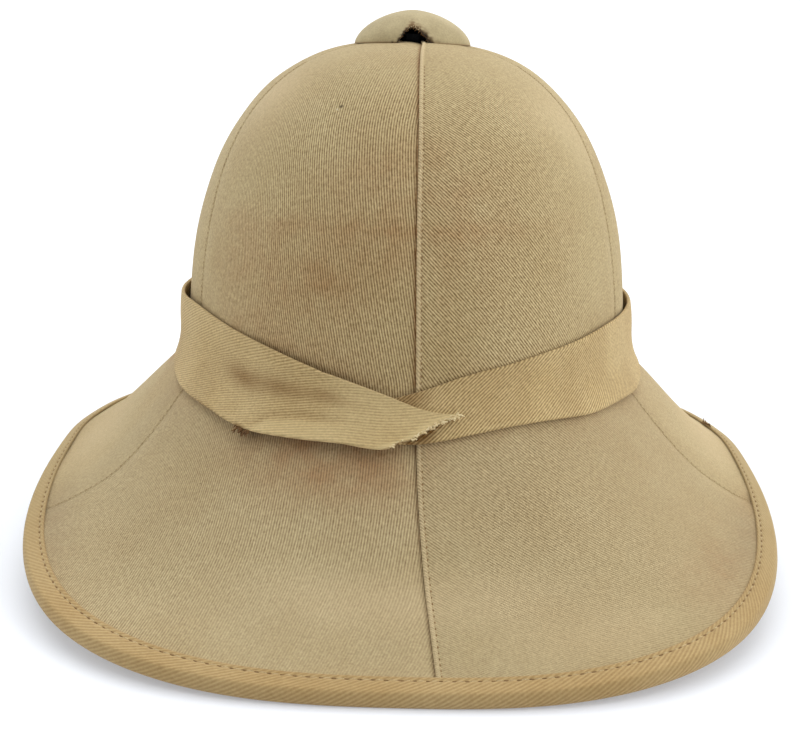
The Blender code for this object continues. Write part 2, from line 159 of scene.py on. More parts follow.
WALE_PLACES = (0.9, 1.2, 1.9)   # on the crown, at the brim's root and at its rim
GORES = (
    # name, whether its left and right sides lie on top, how far its wales fan out on the
    # brim, and their angle from down at each of those places
    ("back_right", True, False, 0.35, 39.0, 35.0, 45.0),
    ("side_right", True, True, 0.6, -16.0, -8.0, -6.0),
    ("front_right", False, True, 0.6, 38.0, 40.0, 44.0),
    ("front_left", False, False, 0.6, 14.0, 8.0, 2.0),
    ("side_left", True, True, 0.6, 42.0, 46.0, 46.0),
    ("back_left", False, False, 1.15, 11.5, 9.0, 14.0),
)

# Spacings of the ribs as the photograph shows them, which suit a heavy cotton drill
DRILL_PITCH = 1.0
BINDING_PITCH = 1.36
BAND_PITCH = 1.02
RIB_WANDER = (0.12, 8.33)    # how far a rib strays sideways, and within about what length
SLUB_SHORTNESS = 0.55        # slubs are nearly twice as long along a rib as across it

PATCHES = (
    # azimuth, place, half widths round and down, soil, or bleaching if below 0
    (3.0, 0.66, 22.0, 0.13, 0.26), (-20.0, 0.84, 20.0, 0.08, 0.22), (-42.0, 0.78, 9.0, 0.07, 0.1),
    (-30.0, 0.74, 14.0, 0.03, 0.16), (-3.0, 0.87, 6.0, 0.05, -0.14), (8.0, 0.73, 26.0, 0.02, 0.14),
    (-52.0, 0.42, 16.0, 0.13, -0.3), (-2.0, 0.86, 30.0, 0.1, 0.1), (40.0, 0.45, 12.0, 0.1, -0.1),
    (58.0, 0.5, 14.0, 0.14, -0.2), (-11.5, 1.21, 14.0, 0.1, 0.4), (2.0, 1.62, 22.0, 0.12, -0.24),
    (26.0, 1.8, 14.0, 0.12, -0.22), (-24.0, 1.8, 16.0, 0.1, -0.08), (44.0, 1.78, 13.0, 0.15, 0.24),
    (-44.0, 1.38, 14.0, 0.16, -0.08), (-29.0, 1.97, 18.0, 0.04, 0.2),
    (-58.0, 1.87, 12.0, 0.12, 0.14), (66.0, 1.9, 12.0, 0.12, 0.14), (94.0, 1.7, 20.0, 0.3, -0.25),
    (-82.0, 1.7, 20.0, 0.3, -0.18), (-88.0, 1.14, 7.0, 0.05, 0.4), (-6.0, 0.55, 12.0, 0.1, 0.1),
)
NIBBLES = (
    # azimuth, place, radius and shade of a small mark on the drill
    (-19.5, 0.440, 0.75, "#3d2f1c"), (-20.4, 0.449, 0.35, "#e6dcc2"), (-20.0, 0.452, 0.25, "#e6dcc2"),
    (23.6, 1.465, 0.3, "#efe9dc"), (23.5, 1.579, 0.25, "#efe9dc"), (-33.0, 1.34, 0.3, "#574529"),
    (-8.0, 1.86, 0.4, "#5c4a2c"), (36.0, 0.62, 0.3, "#6a5636"),
)


# --- Shades ----------------------------------------------------------------------------

def colour(text):
    """An sRGB hex colour as linear RGBA."""
    levels = [int(text[i:i + 2], 16) / 255 for i in (1, 3, 5)]
    linear = [v / 12.92 if v <= 0.04045 else ((v + 0.055) / 1.055) ** 2.4 for v in levels]
    return (*linear, 1.0)


# The drill's pale ribs and dirty grooves, and what is laid over them: sun and dirt darken them unevenly,
# with painted shade by the band and in the seams' grooves; dust on the brim greys them; and rubbing wears
# them pale, with a painted highlight along the seams' folds
DRILL_RIB = "#d8c698"
DRILL_GROOVE = "#7f6a45"
DRILL_FADE = "#d2bd98"
DRILL_SOIL_AND_SHADE = "#c98a54"
DRILL_GREY = "#dfe3ee"
DRILL_WORN_AND_LIT = "#e1cba3"
# the strips' soil colour, which also lays painted shade: the binding's shadow lines and the band's crease
# and cut-end shadows
STRIP_SOIL_AND_SHADE = "#a2835b"

CLOTH_RELIEF = 0.6           # strength of the weave's relief
# Matt cotton: rough, with a faint fuzz that lightens it where it turns away
MATT_COTTON = {
    "Roughness": 0.9, "Specular IOR Level": 0.2, "Sheen Weight": 0.08, "Sheen Roughness": 0.45,
}


# --- Numbers along curves and over the skin --------------------------------------------

def smooth(value):
    """0 to 1 with no corner at either end."""
    value = np.clip(value, 0.0, 1.0)
    return value * value * (3.0 - 2.0 * value)


def follow(table, column, x):
    """A smooth curve through one column of a table whose first column is x."""
    rows = np.array(table, float)
    xs, ys = rows[:, 0], rows[:, column]
    slopes = np.zeros(len(xs))
    slopes[1:-1] = (ys[2:] - ys[:-2]) / (xs[2:] - xs[:-2])
    x = np.asarray(x, float)
    i = np.clip(np.searchsorted(xs, x, side="right") - 1, 0, len(xs) - 2)
    span = xs[i + 1] - xs[i]
    u = np.clip((x - xs[i]) / span, 0.0, 1.0)
    return (
        (2 * u ** 3 - 3 * u ** 2 + 1) * ys[i]
        + (u ** 3 - 2 * u ** 2 + u) * span * slopes[i]
        + (3 * u ** 2 - 2 * u ** 3) * ys[i + 1]
        + (u ** 3 - u ** 2) * span * slopes[i + 1]
    )


def straight(table, x):
    """Straight lines through a table of pairs."""
    xs, ys = np.array(table, float).T
    return np.interp(x, xs, ys)


def falloff(distance, half):
    """1 at no distance, falling off smoothly in about twice the half width."""
    return np.exp(-(distance / half) ** 2)


def line_run(line):
    """Distance along a line of points."""
    return np.concatenate([[0.0], np.cumsum(np.linalg.norm(np.diff(line, axis=0), axis=-1))])


def turned(azimuth, centre):
    """The turn from a centre to an azimuth, from -180 to 180."""
    return (azimuth - centre + 180.0) % 360.0 - 180.0


def from_back(azimuth):
    """The turn from the centre back, either way."""
    return np.abs(turned(azimuth, 0.0))


def crown_point(azimuth, place):
    """A point of the dome, before it is rounded into the brim."""
    azimuth, place = np.broadcast_arrays(np.asarray(azimuth, float), np.asarray(place, float))
    out = np.sin(place * math.pi / 2) ** (2 / CROWN_SIDE_POWER)
    up = np.maximum(0.0, np.cos(place * math.pi / 2)) ** (2 / CROWN_TOP_POWER)
    turn = np.radians(azimuth)
    side = np.arctan2(CROWN_LENGTH * np.sin(turn), CROWN_WIDTH * np.cos(turn))
    x = CROWN_WIDTH / 2 * out * np.sin(side)
    y = -CROWN_LENGTH / 2 * out * np.cos(side)
    return lean(np.stack([x, y, CROWN_HEIGHT * up], -1))


def lean(points):
    """Crown axes to helmet axes: the crown leans forward on its seat."""
    angle = math.radians(CROWN_LEAN)
    x, y, z = np.moveaxis(points, -1, 0)
    leant = np.stack([
        x, y * math.cos(angle) + z * math.sin(angle), z * math.cos(angle) - y * math.sin(angle),
    ], -1)
    return leant + np.array(CROWN_SEAT)


def edge_point(azimuth):
    """The drill's top at the brim's edge, inside the binding."""
    inset = BINDING_WALL + GAP + BINDING_NOSE
    turn, angle = np.radians(azimuth), from_back(azimuth)
    change = smooth((angle - POWER_CHANGE[0]) / (POWER_CHANGE[1] - POWER_CHANGE[0]))
    power = BRIM_POWER_BACK + (BRIM_POWER_FRONT - BRIM_POWER_BACK) * change
    half_width = BRIM_WIDTH / 2 - inset
    reach = BRIM_LENGTH / 2 - inset + np.where(angle < 90.0, BRIM_WIDEST, -BRIM_WIDEST)
    radius = (
        np.abs(np.sin(turn) / half_width) ** power + np.abs(np.cos(turn) / reach) ** power
    ) ** (-1.0 / power)
    stack = CLOTH + CORK_EDGE + BINDING_WALL + 2 * GAP
    height = follow(RIM_RISE, 1, angle) + stack
    for centre, half, lift in RIM_LIFTS:
        height = height + lift * falloff(turned(azimuth, centre), half)
    return np.stack([radius * np.sin(turn), BRIM_WIDEST - radius * np.cos(turn), height], -1)


def brim_point(azimuth, run):
    """A point of the brim, a share of the way out from the crown's foot to its edge."""
    foot, edge = crown_point(azimuth, 1.0), edge_point(azimuth)
    run = np.asarray(run, float)[..., None]
    point = foot + (edge - foot) * run
    drop = 1.0 - np.maximum(0.0, 1.0 - run[..., 0]) ** BRIM_FLARE
    point[..., 2] = foot[..., 2] + (edge[..., 2] - foot[..., 2]) * drop
    along = np.clip(run[..., 0], 0.0, 1.0)
    bulge = 6.75 * along * (1.0 - along) ** 2   # at its most, 1, a third of the way out
    for centre, half, height in SIDE_SWELLS:
        point[..., 2] += height * falloff(turned(azimuth, centre), half) * bulge
    return point


def skin(azimuth, place):
    """A point of the skin, rounded where the crown meets the brim."""
    azimuth, place = np.broadcast_arrays(np.asarray(azimuth, float), np.asarray(place, float))
    start, end = FILLET
    k = np.clip((place - start) / (end - start), 0.0, 1.0)[..., None]
    crown = crown_point(azimuth, np.clip(place, 0.0, 1.0))
    brim = brim_point(azimuth, np.clip(place - 1.0, 0.0, None))
    rounded = (
        crown_point(azimuth, start) * (1 - k) ** 2
        + crown_point(azimuth, 1.0) * 2 * k * (1 - k)
        + brim_point(azimuth, np.full_like(place, end - 1.0)) * k ** 2
    )
    inside = ((place > start) & (place < end))[..., None]
    return np.where(inside, rounded, np.where((place <= 1.0)[..., None], crown, brim))


def unit(vectors):
    """Vectors of length 1."""
    return vectors / np.linalg.norm(vectors, axis=-1, keepdims=True)


def skin_normal(azimuth, place):
    """The skin's outward direction."""
    step = 1e-4
    place = np.asarray(place, float)
    down = skin(azimuth, place + step) - skin(azimuth, np.maximum(step, place - step))
    around = skin(np.asarray(azimuth) + 0.05, place) - skin(np.asarray(azimuth) - 0.05, place)
    return unit(np.cross(down, around))


def above(azimuth, place, height):
    """A point over the skin, or under it by a negative height."""
    return skin(azimuth, place) + skin_normal(azimuth, place) * np.asarray(height)[..., None]


def place_from_edge(azimuth, distance):
    """The place on the brim at a distance in from its edge."""
    reach = np.linalg.norm(edge_point(azimuth) - crown_point(azimuth, 1.0), axis=-1)
    return 2.0 - distance / reach


def place_of_rise(azimuth, rise):
    """The place at a height above the crown's foot; below it, out on the brim."""
    height = crown_point(azimuth, 1.0)[..., 2] + rise
    low, high = np.full_like(height, 0.5), np.full_like(height, 1.5)
    for _ in range(16):   # each halves what is left
        middle = (low + high) / 2
        higher = skin(azimuth, middle)[..., 2] > height
        low, high = np.where(higher, middle, low), np.where(higher, high, middle)
    return low


def place_at_radius(radius):
    """The place where the crown's skin is a given radius from its axis, at the sides."""
    return math.asin((2 * radius / CROWN_WIDTH) ** (CROWN_SIDE_POWER / 2)) / (math.pi / 2)


def cork_wall(place):
    """The cork's thickness, which thins out over the brim."""
    return CORK_CROWN + (CORK_EDGE - CORK_CROWN) * smooth(np.asarray(place) - 1.0)


def ripple(points, wavelength, seed):
    """A gentle unevenness from -1 to 1 over points, as hand-glued cloth has."""
    random = np.random.default_rng(seed)
    total = np.zeros(points.shape[:-1])
    waves = 9
    for _ in range(waves):
        direction = unit(random.normal(size=3))
        length = wavelength * random.uniform(0.6, 1.7)
        total += np.sin(points @ direction * (2 * math.pi / length) + random.uniform(0, 6.28))
    return np.clip(total / math.sqrt(waves), -1.0, 1.0)


# --- Meshes ----------------------------------------------------------------------------

def wall(name, outer, inner, finishes, closed, weave=None, marks=None):
    """A closed thin wall between two grids of points, rows down and columns around.

    The weave's map gives each point of the outer grid a place on the cloth in mm. A wall
    that closes on itself has one more column in its map than in its grids. Marks are
    named grids from 0 to 1, such as where the cloth is worn.
    """
    rows, columns = outer.shape[:2]
    spans = columns if closed else columns - 1
    points = np.concatenate([outer.reshape(-1, 3), inner.reshape(-1, 3)]) * MM

    def strips(first, second, third, fourth):
        """Quads from four (side, row, column) corners, each an array or a number."""
        corners = []
        for side, row, column in (first, second, third, fourth):
            corners.append(np.stack(np.broadcast_arrays(side, row, column), -1).reshape(-1, 3))
        return np.stack(corners, 1)

    r, c = np.meshgrid(np.arange(rows - 1), np.arange(spans), indexing="ij")
    along = np.arange(spans)
    quads = [
        strips((0, r, c), (0, r + 1, c), (0, r + 1, c + 1), (0, r, c + 1)),
        strips((1, r, c), (1, r, c + 1), (1, r + 1, c + 1), (1, r + 1, c)),
        strips((0, 0, along), (0, 0, along + 1), (1, 0, along + 1), (1, 0, along)),
        strips(
            (0, rows - 1, along), (1, rows - 1, along),
            (1, rows - 1, along + 1), (0, rows - 1, along + 1),
        ),
    ]
    if not closed:
        down, last = np.arange(rows - 1), columns - 1
        quads += [
            strips((0, down, 0), (1, down, 0), (1, down + 1, 0), (0, down + 1, 0)),
            strips((0, down, last), (0, down + 1, last), (1, down + 1, last), (1, down, last)),
        ]
    inner_start, inner_count = len(quads[0]), len(quads[1])
    quads = np.concatenate(quads)
    index = quads[..., 0] * rows * columns + quads[..., 1] * columns + quads[..., 2] % columns
    mesh = bpy.data.meshes.new(name)
    mesh.from_pydata(points.tolist(), [], index.tolist())
    if weave is not None:
        layer = mesh.uv_layers.new(name="weave")
        places = weave[quads[..., 1], quads[..., 2]].reshape(-1)
        layer.uv.foreach_set("vector", places.astype(np.float32))
    for mark, amount in (marks or {}).items():
        both = np.concatenate([amount.ravel(), amount.ravel()])
        values = mesh.attributes.new(mark, "FLOAT", "POINT").data
        values.foreach_set("value", both.astype(np.float32))
    for finish in finishes:
        mesh.materials.append(finish)
    if len(finishes) > 1:
        chosen = np.zeros(len(quads), np.int32)
        chosen[inner_start:inner_start + inner_count] = 1
        mesh.polygons.foreach_set("material_index", chosen)
    return mesh_piece(name, mesh)


def mesh_piece(name, mesh):
    """A mesh as a piece of the scene, smooth but for its sharp folds and edges."""
    mesh.shade_smooth()
    mesh.set_sharp_from_angle(angle=math.radians(50))
    piece = bpy.data.objects.new(name, mesh)
    bpy.context.scene.collection.objects.link(piece)
    return piece


# --- Shader and Geometry Nodes ---------------------------------------------------------

def result(node):
    """A node's shown output."""
    return next(socket for socket in node.outputs if socket.enabled)


def add(tree, kind, inputs=None, **settings):
    """Adds a node. An input is named by its identifier or name, and is a value or a link."""
    made = tree.nodes.new(kind)
    for name, value in settings.items():
        setattr(made, name, value)
    sockets = {socket.name: socket for socket in reversed(made.inputs)}
    sockets.update({socket.identifier: socket for socket in made.inputs})
    for name, value in (inputs or {}).items():
        if isinstance(value, bpy.types.Node):
            value = result(value)
        if isinstance(value, bpy.types.NodeSocket):
            tree.links.new(value, sockets[name])
        else:
            sockets[name].default_value = value
    return made


# --- Finishes --------------------------------------------------------------------------
# Sizes of grains and patches are in mm. The finest are 0.4 to 0.9 mm, which is as fine as
# the render shows: real cotton fibres are finer.

def grains(size):
    """The scale of a noise whose grains have a size, as its cells in a metre."""
    return 1.0 / (size * MM)


def new_finish(name, *labels):
    """A material, its tree, its Object coordinates and the amounts of its marks."""
    made = bpy.data.materials.new(name)
    made.use_nodes = True
    tree = made.node_tree
    place = add(tree, "ShaderNodeTexCoord").outputs["Object"]
    marks = [add(tree, "ShaderNodeAttribute", attribute_name=label).outputs["Fac"] for label in labels]
    return made, tree, place, *marks


def layered(tree, base, *coats):
    """A base shade under coats: each has its amount, its shade and how it blends."""
    shade = colour(base)
    for amount, coat, blend in coats:
        coat = colour(coat) if isinstance(coat, str) else coat
        shade = add(tree, "ShaderNodeMix", {
            "Factor_Float": amount, "A_Color": shade, "B_Color": coat,
        }, data_type="RGBA", blend_type=blend)
    return shade


def finish_surface(tree, shade, height, strength, depth, values):
    """Gives the shader its shade, its relief to a depth in mm and its plain values."""
    shader = tree.nodes["Principled BSDF"]
    bump = add(tree, "ShaderNodeBump", {"Height": height, "Strength": strength, "Distance": depth * MM})
    tree.links.new(result(shade), shader.inputs["Base Color"])
    tree.links.new(result(bump), shader.inputs["Normal"])
    for name, value in values.items():
        shader.inputs[name].default_value = value


def twill(tree, place, pitch, breaks):
    """The ribs of a twill on the weave's map, as a height from about -1 to 1."""
    spot = add(tree, "ShaderNodeSeparateXYZ", {"Vector": add(tree, "ShaderNodeUVMap", uv_map="weave")})
    stray, length = RIB_WANDER
    drift = add(tree, "ShaderNodeTexNoise", {"Vector": place, "Scale": grains(length), "Detail": 2.0})
    shift = add(tree, "ShaderNodeMapRange", {
        "Value": drift.outputs[0], "To Min": -stray, "To Max": stray,
    })
    across = add(tree, "ShaderNodeMath", {"Value": spot.outputs["X"], "Value_001": shift}, operation="ADD")
    phase, wide, long = (
        add(tree, "ShaderNodeMath", {"Value": value, "Value_001": times / pitch}, operation="MULTIPLY")
        for value, times in ((across, 2 * math.pi), (across, 1.0), (spot.outputs["Y"], SLUB_SHORTNESS))
    )
    rib = add(tree, "ShaderNodeMath", {"Value": phase}, operation="SINE")
    stretched = add(tree, "ShaderNodeCombineXYZ", {"X": wide, "Y": long})
    slub = add(tree, "ShaderNodeTexNoise", {
        "Vector": stretched, "Scale": 1.0, "Detail": 3.0, "Roughness": 0.6,
    })
    broken = add(tree, "ShaderNodeMapRange", {
        "Value": slub.outputs[0], "From Min": 0.3, "From Max": 0.7, "To Min": -breaks, "To Max": breaks,
    })
    return add(tree, "ShaderNodeMath", {"Value": rib, "Value_001": broken}, operation="ADD")


def yarn_tone(tree, place, height, faint, contrast, left):
    """From groove (0) to rib (1), with a share of its contrast left where the weave is faint.

    A fuzz as fine as a yarn stays everywhere.
    """
    reach = add(tree, "ShaderNodeMapRange", {
        "Value": faint, "To Min": contrast, "To Max": contrast * left,
    })
    swing = add(tree, "ShaderNodeMath", {"Value": height, "Value_001": reach}, operation="MULTIPLY")
    fuzz = add(tree, "ShaderNodeTexNoise", {"Vector": place, "Scale": grains(0.909), "Detail": 2.0})
    middle = add(tree, "ShaderNodeMapRange", {
        "Value": fuzz.outputs[0], "From Min": 0.25, "From Max": 0.75, "To Min": 0.33, "To Max": 0.67,
    })
    return add(tree, "ShaderNodeMath", {
        "Value": swing, "Value_001": middle,
    }, operation="ADD", use_clamp=True)


def clouds(tree, place, size, roughness, levels, shares, detail=5.0):
    """Soft patches of a size: noise from low to high levels, as shares from low to high."""
    noise = add(tree, "ShaderNodeTexNoise", {
        "Vector": place, "Scale": grains(size), "Detail": detail, "Roughness": roughness,
    })
    return add(tree, "ShaderNodeMapRange", {
        "Value": noise.outputs[0], "From Min": levels[0], "From Max": levels[1],
        "To Min": shares[0], "To Max": shares[1],
    })


def specks(tree, place):
    """A coat for each small nibble and splash on the drill, ragged at its rim."""
    ragged = add(tree, "ShaderNodeTexNoise", {"Vector": place, "Scale": grains(0.417), "Detail": 1.0})
    coats = []
    for azimuth, spot, radius, hue in NIBBLES:
        away = add(tree, "ShaderNodeVectorMath", {
            "Vector": place, "Vector_001": skin(azimuth, spot) * MM,
        }, operation="DISTANCE")
        reach = add(tree, "ShaderNodeMapRange", {
            "Value": away.outputs["Value"], "From Min": 0.6 * radius * MM, "From Max": 1.7 * radius * MM,
            "To Min": 1.5, "To Max": 0.0,
        })
        there = add(tree, "ShaderNodeMath", {
            "Value": reach, "Value_001": ragged.outputs[0],
        }, operation="MULTIPLY", use_clamp=True)
        coats.append((there, hue, "MIX"))
    return coats


def khaki_drill():
    """Cotton drill, woven as a steep twill and faded: pale ribs with dirt between them."""
    labels = ("faint", "soil_and_shade", "grey", "wear_and_light")
    made, tree, place, faint, soil_and_shade, grey, wear_and_light = new_finish("khaki_drill", *labels)
    height = twill(tree, place, DRILL_PITCH, breaks=0.6)
    patchy = clouds(tree, place, 13.33, 0.65, (0.35, 0.65), (0.6, 1.4), detail=4.0)
    patchy_soil_and_shade = add(tree, "ShaderNodeMath", {
        "Value": soil_and_shade, "Value_001": patchy,
    }, operation="MULTIPLY", use_clamp=True)
    shade = layered(
        tree, DRILL_GROOVE,
        (yarn_tone(tree, place, height, faint, 0.39, 0.17), DRILL_RIB, "MIX"),
        (clouds(tree, place, 58.8, 0.6, (0.35, 0.7), (0.0, 0.34)), DRILL_FADE, "MULTIPLY"),
        (patchy_soil_and_shade, DRILL_SOIL_AND_SHADE, "MULTIPLY"),
        (grey, DRILL_GREY, "MULTIPLY"),
        (wear_and_light, DRILL_WORN_AND_LIT, "MIX"),
        *specks(tree, place),
    )
    finish_surface(tree, shade, height, CLOTH_RELIEF, 0.11, MATT_COTTON)
    return made


def strip_twill(name, light, dark, fade, worn_and_lit, pitch, contrast, depth):
    """A cotton twill strip with slight fading, for the bound edge and the band."""
    made, tree, place, faint, soil_and_shade, wear_and_light = new_finish(name, "faint", "soil_and_shade", "wear_and_light")
    height = twill(tree, place, pitch, breaks=0.4)
    shade = layered(
        tree, dark,
        (yarn_tone(tree, place, height, faint, contrast, 0.25), light, "MIX"),
        (clouds(tree, place, 33.3, 0.6, (0.35, 0.7), (0.0, 0.4)), fade, "MULTIPLY"),
        (soil_and_shade, STRIP_SOIL_AND_SHADE, "MULTIPLY"),
        (wear_and_light, worn_and_lit, "MIX"),
    )
    finish_surface(tree, shade, height, CLOTH_RELIEF, depth, MATT_COTTON)
    return made


def bias_binding():
    """Golden cotton twill cut on the bias: its ribs slant across the bound edge."""
    shades = ("#bfa676", "#987d53", "#dccaa6", "#aa9870")
    return strip_twill("bias_binding", *shades, BINDING_PITCH, contrast=0.25, depth=0.08)


def band_drill():
    """Folded cotton twill, warmer and less faded than the gores."""
    shades = ("#dfc794", "#8b744b", "#d6c49f", "#d8c391")
    return strip_twill("band_drill", *shades, BAND_PITCH, contrast=0.34, depth=0.11)


def fine_cotton():
    """The vent's covering: smooth fine cotton, a greener khaki, scorched by the arch, with painted shade
    round its seat.
    """
    made, tree, place, tan_and_shade, soil_and_shade = new_finish("fine_cotton", "tan_and_shade", "soil_and_shade")
    threads = add(tree, "ShaderNodeTexNoise", {"Vector": place, "Scale": grains(0.769), "Detail": 2.0})
    cloud = add(tree, "ShaderNodeTexNoise", {"Vector": place, "Scale": grains(11.1), "Detail": 4.0})
    shade = layered(
        tree, "#9c8d69",
        (cloud.outputs[0], "#c0b18b", "MIX"),
        (0.25, threads.outputs[0], "OVERLAY"),
        (tan_and_shade, "#6b4a24", "MIX"),
        (soil_and_shade, "#1d150c", "MIX"),
    )
    finish_surface(tree, shade, threads.outputs[0], CLOTH_RELIEF, 0.04, MATT_COTTON)
    return made


def grained(name, low, high, size, relief, values):
    """A material whose shade and relief follow one noise, with grains of a size."""
    made, tree, place = new_finish(name)
    grain = clouds(tree, place, size, 0.6, (0.3, 0.7), (0.0, 1.0), detail=4.0)
    finish_surface(tree, layered(tree, low, (grain, high, "MIX")), grain, 0.5, relief, values)
    return made


def moulded_cork():
    """Pressed cork granules, brown, bare only where the cloth doesn't reach."""
    return grained("moulded_cork", "#6e5536", "#a98a5e", 2.38, 0.25, {"Roughness": 0.95})


def drab_cotton():
    """The plain cotton that faces the body inside: dull khaki with a fine grain."""
    return grained("drab_cotton", "#8d7c58", "#ab9a74", 1.11, 0.06, {"Roughness": 0.95})


def shade_black_tin():
    """Black that stands for the shade inside the vent, on its tube and the dome's inside: dull black
    lacquer on tin, a little uneven.
    """
    return grained("shade_black_tin", "#0b0b0d", "#202024", 6.25, 0.03, {"Roughness": 0.55, "Metallic": 0.3})


def sewing_cotton():
    """Khaki sewing thread, its two plies showing as light and dark."""
    return grained("sewing_cotton", "#927b54", "#cdb98e", 0.667, 0.08, {"Roughness": 0.85})


def needle_hole_shade():
    """Painted shade: a dark bead for the shaded dent that each stitch pulls into the cloth."""
    return grained("needle_hole_shade", "#755c3a", "#957850", 0.556, 0.05, {"Roughness": 1.0})


def shallow_dent_shade():
    """Painted shade, paler: a bead for the slight dent of a stitch that was not pulled tight."""
    return grained("shallow_dent_shade", "#87714d", "#a38c63", 0.556, 0.05, {"Roughness": 1.0})


def loose_cotton():
    """Bleached loose yarn at the cut edges."""
    return grained("loose_cotton", "#cdb686", "#ebdcb2", 1.43, 0.05, {"Roughness": 0.9})


def rot_and_shadow_yarn():
    """Reddish-brown yarn in the frayed places, partly rot and partly painted shadow: its plies fill the
    gap under the band's cut end.
    """
    return grained("rot_and_shadow_yarn", "#54361b", "#86643b", 1.11, 0.05, {"Roughness": 0.95})


def white_table():
    """Matt white acrylic, lit a little from beneath, which keeps its shadows light."""
    return grained("white_table", "#cfd1d4", "#d4d6d9", 333.3, 0.0, {
        "Roughness": 0.7, "Emission Color": colour("#edf3ff"), "Emission Strength": TABLE_GLOW,
    })


# --- Sewing and loose threads ----------------------------------------------------------

def new_geometry_tree(name, inputs):
    """A Geometry Nodes tree with named inputs, and its input and output nodes."""
    tree = bpy.data.node_groups.new(name, "GeometryNodeTree")
    tree.interface.new_socket("Geometry", in_out="INPUT", socket_type="NodeSocketGeometry")
    tree.interface.new_socket("Geometry", in_out="OUTPUT", socket_type="NodeSocketGeometry")
    for label, kind in inputs:
        tree.interface.new_socket(label, in_out="INPUT", socket_type="NodeSocket" + kind)
    return tree, add(tree, "NodeGroupInput").outputs, add(tree, "NodeGroupOutput")


def along_and_up(tree, along):
    """A turn that lays X along a direction and Z along the surface's outward one."""
    off = add(tree, "GeometryNodeInputNamedAttribute", {"Name": "off"}, data_type="FLOAT_VECTOR")
    upright = add(tree, "FunctionNodeAlignRotationToVector", {"Vector": off}, axis="Z")
    return add(tree, "FunctionNodeAlignRotationToVector", {
        "Rotation": upright, "Vector": along,
    }, axis="X", pivot_axis="Z")


def sewing_tree():
    """Sews along a line: a thread at each step and, between two, a dark bead of painted shade for the
    needle hole.
    """
    tree, given, output = new_geometry_tree("sewing", (
        ("Spacing", "Float"), ("Thread Length", "Float"), ("Thread Width", "Float"),
        ("Hole Length", "Float"), ("Hole Width", "Float"), ("Unevenness", "Float"), ("Seed", "Int"),
        ("Thread", "Material"), ("Hole", "Material"),
    ))
    line = add(tree, "GeometryNodeMeshToCurve", {"Mesh": given["Geometry"]})
    steps = add(tree, "GeometryNodeResampleCurve", {
        "Curve": line, "Length": given["Spacing"],
    }, mode="LENGTH")
    tangent = add(tree, "GeometryNodeInputTangent")
    turn = along_and_up(tree, tangent)
    least, most = (
        add(tree, "ShaderNodeMath", {"Value": 1.0, "Value_001": given["Unevenness"]}, operation=way)
        for way in ("SUBTRACT", "ADD")
    )
    size = add(tree, "FunctionNodeRandomValue", {
        "Min_001": least, "Max_001": most, "Seed": given["Seed"],
    }, data_type="FLOAT")
    bead = add(tree, "GeometryNodeMeshUVSphere", {"Segments": 8, "Rings": 5, "Radius": 0.5})
    half = add(tree, "ShaderNodeMath", {
        "Value": given["Spacing"], "Value_001": 0.5,
    }, operation="MULTIPLY")
    shift = add(tree, "ShaderNodeVectorMath", {"Vector": tangent, "Scale": half}, operation="SCALE")
    between = add(tree, "GeometryNodeSetPosition", {"Geometry": steps, "Offset": shift})
    parts = add(tree, "GeometryNodeJoinGeometry")
    for kind, points in (("Thread", steps), ("Hole", between)):
        stretch = add(tree, "ShaderNodeCombineXYZ", {
            "X": given[kind + " Length"], "Y": given[kind + " Width"], "Z": given["Thread Width"],
        })
        scale = add(tree, "ShaderNodeVectorMath", {"Vector": stretch, "Scale": size}, operation="SCALE")
        beads = add(tree, "GeometryNodeInstanceOnPoints", {
            "Points": points, "Instance": bead, "Rotation": turn, "Scale": scale,
        })
        real = add(tree, "GeometryNodeRealizeInstances", {"Geometry": beads})
        painted = add(tree, "GeometryNodeSetMaterial", {"Geometry": real, "Material": given[kind]})
        tree.links.new(painted.outputs[0], parts.inputs[0])
    tree.links.new(parts.outputs[0], output.inputs[0])
    return tree


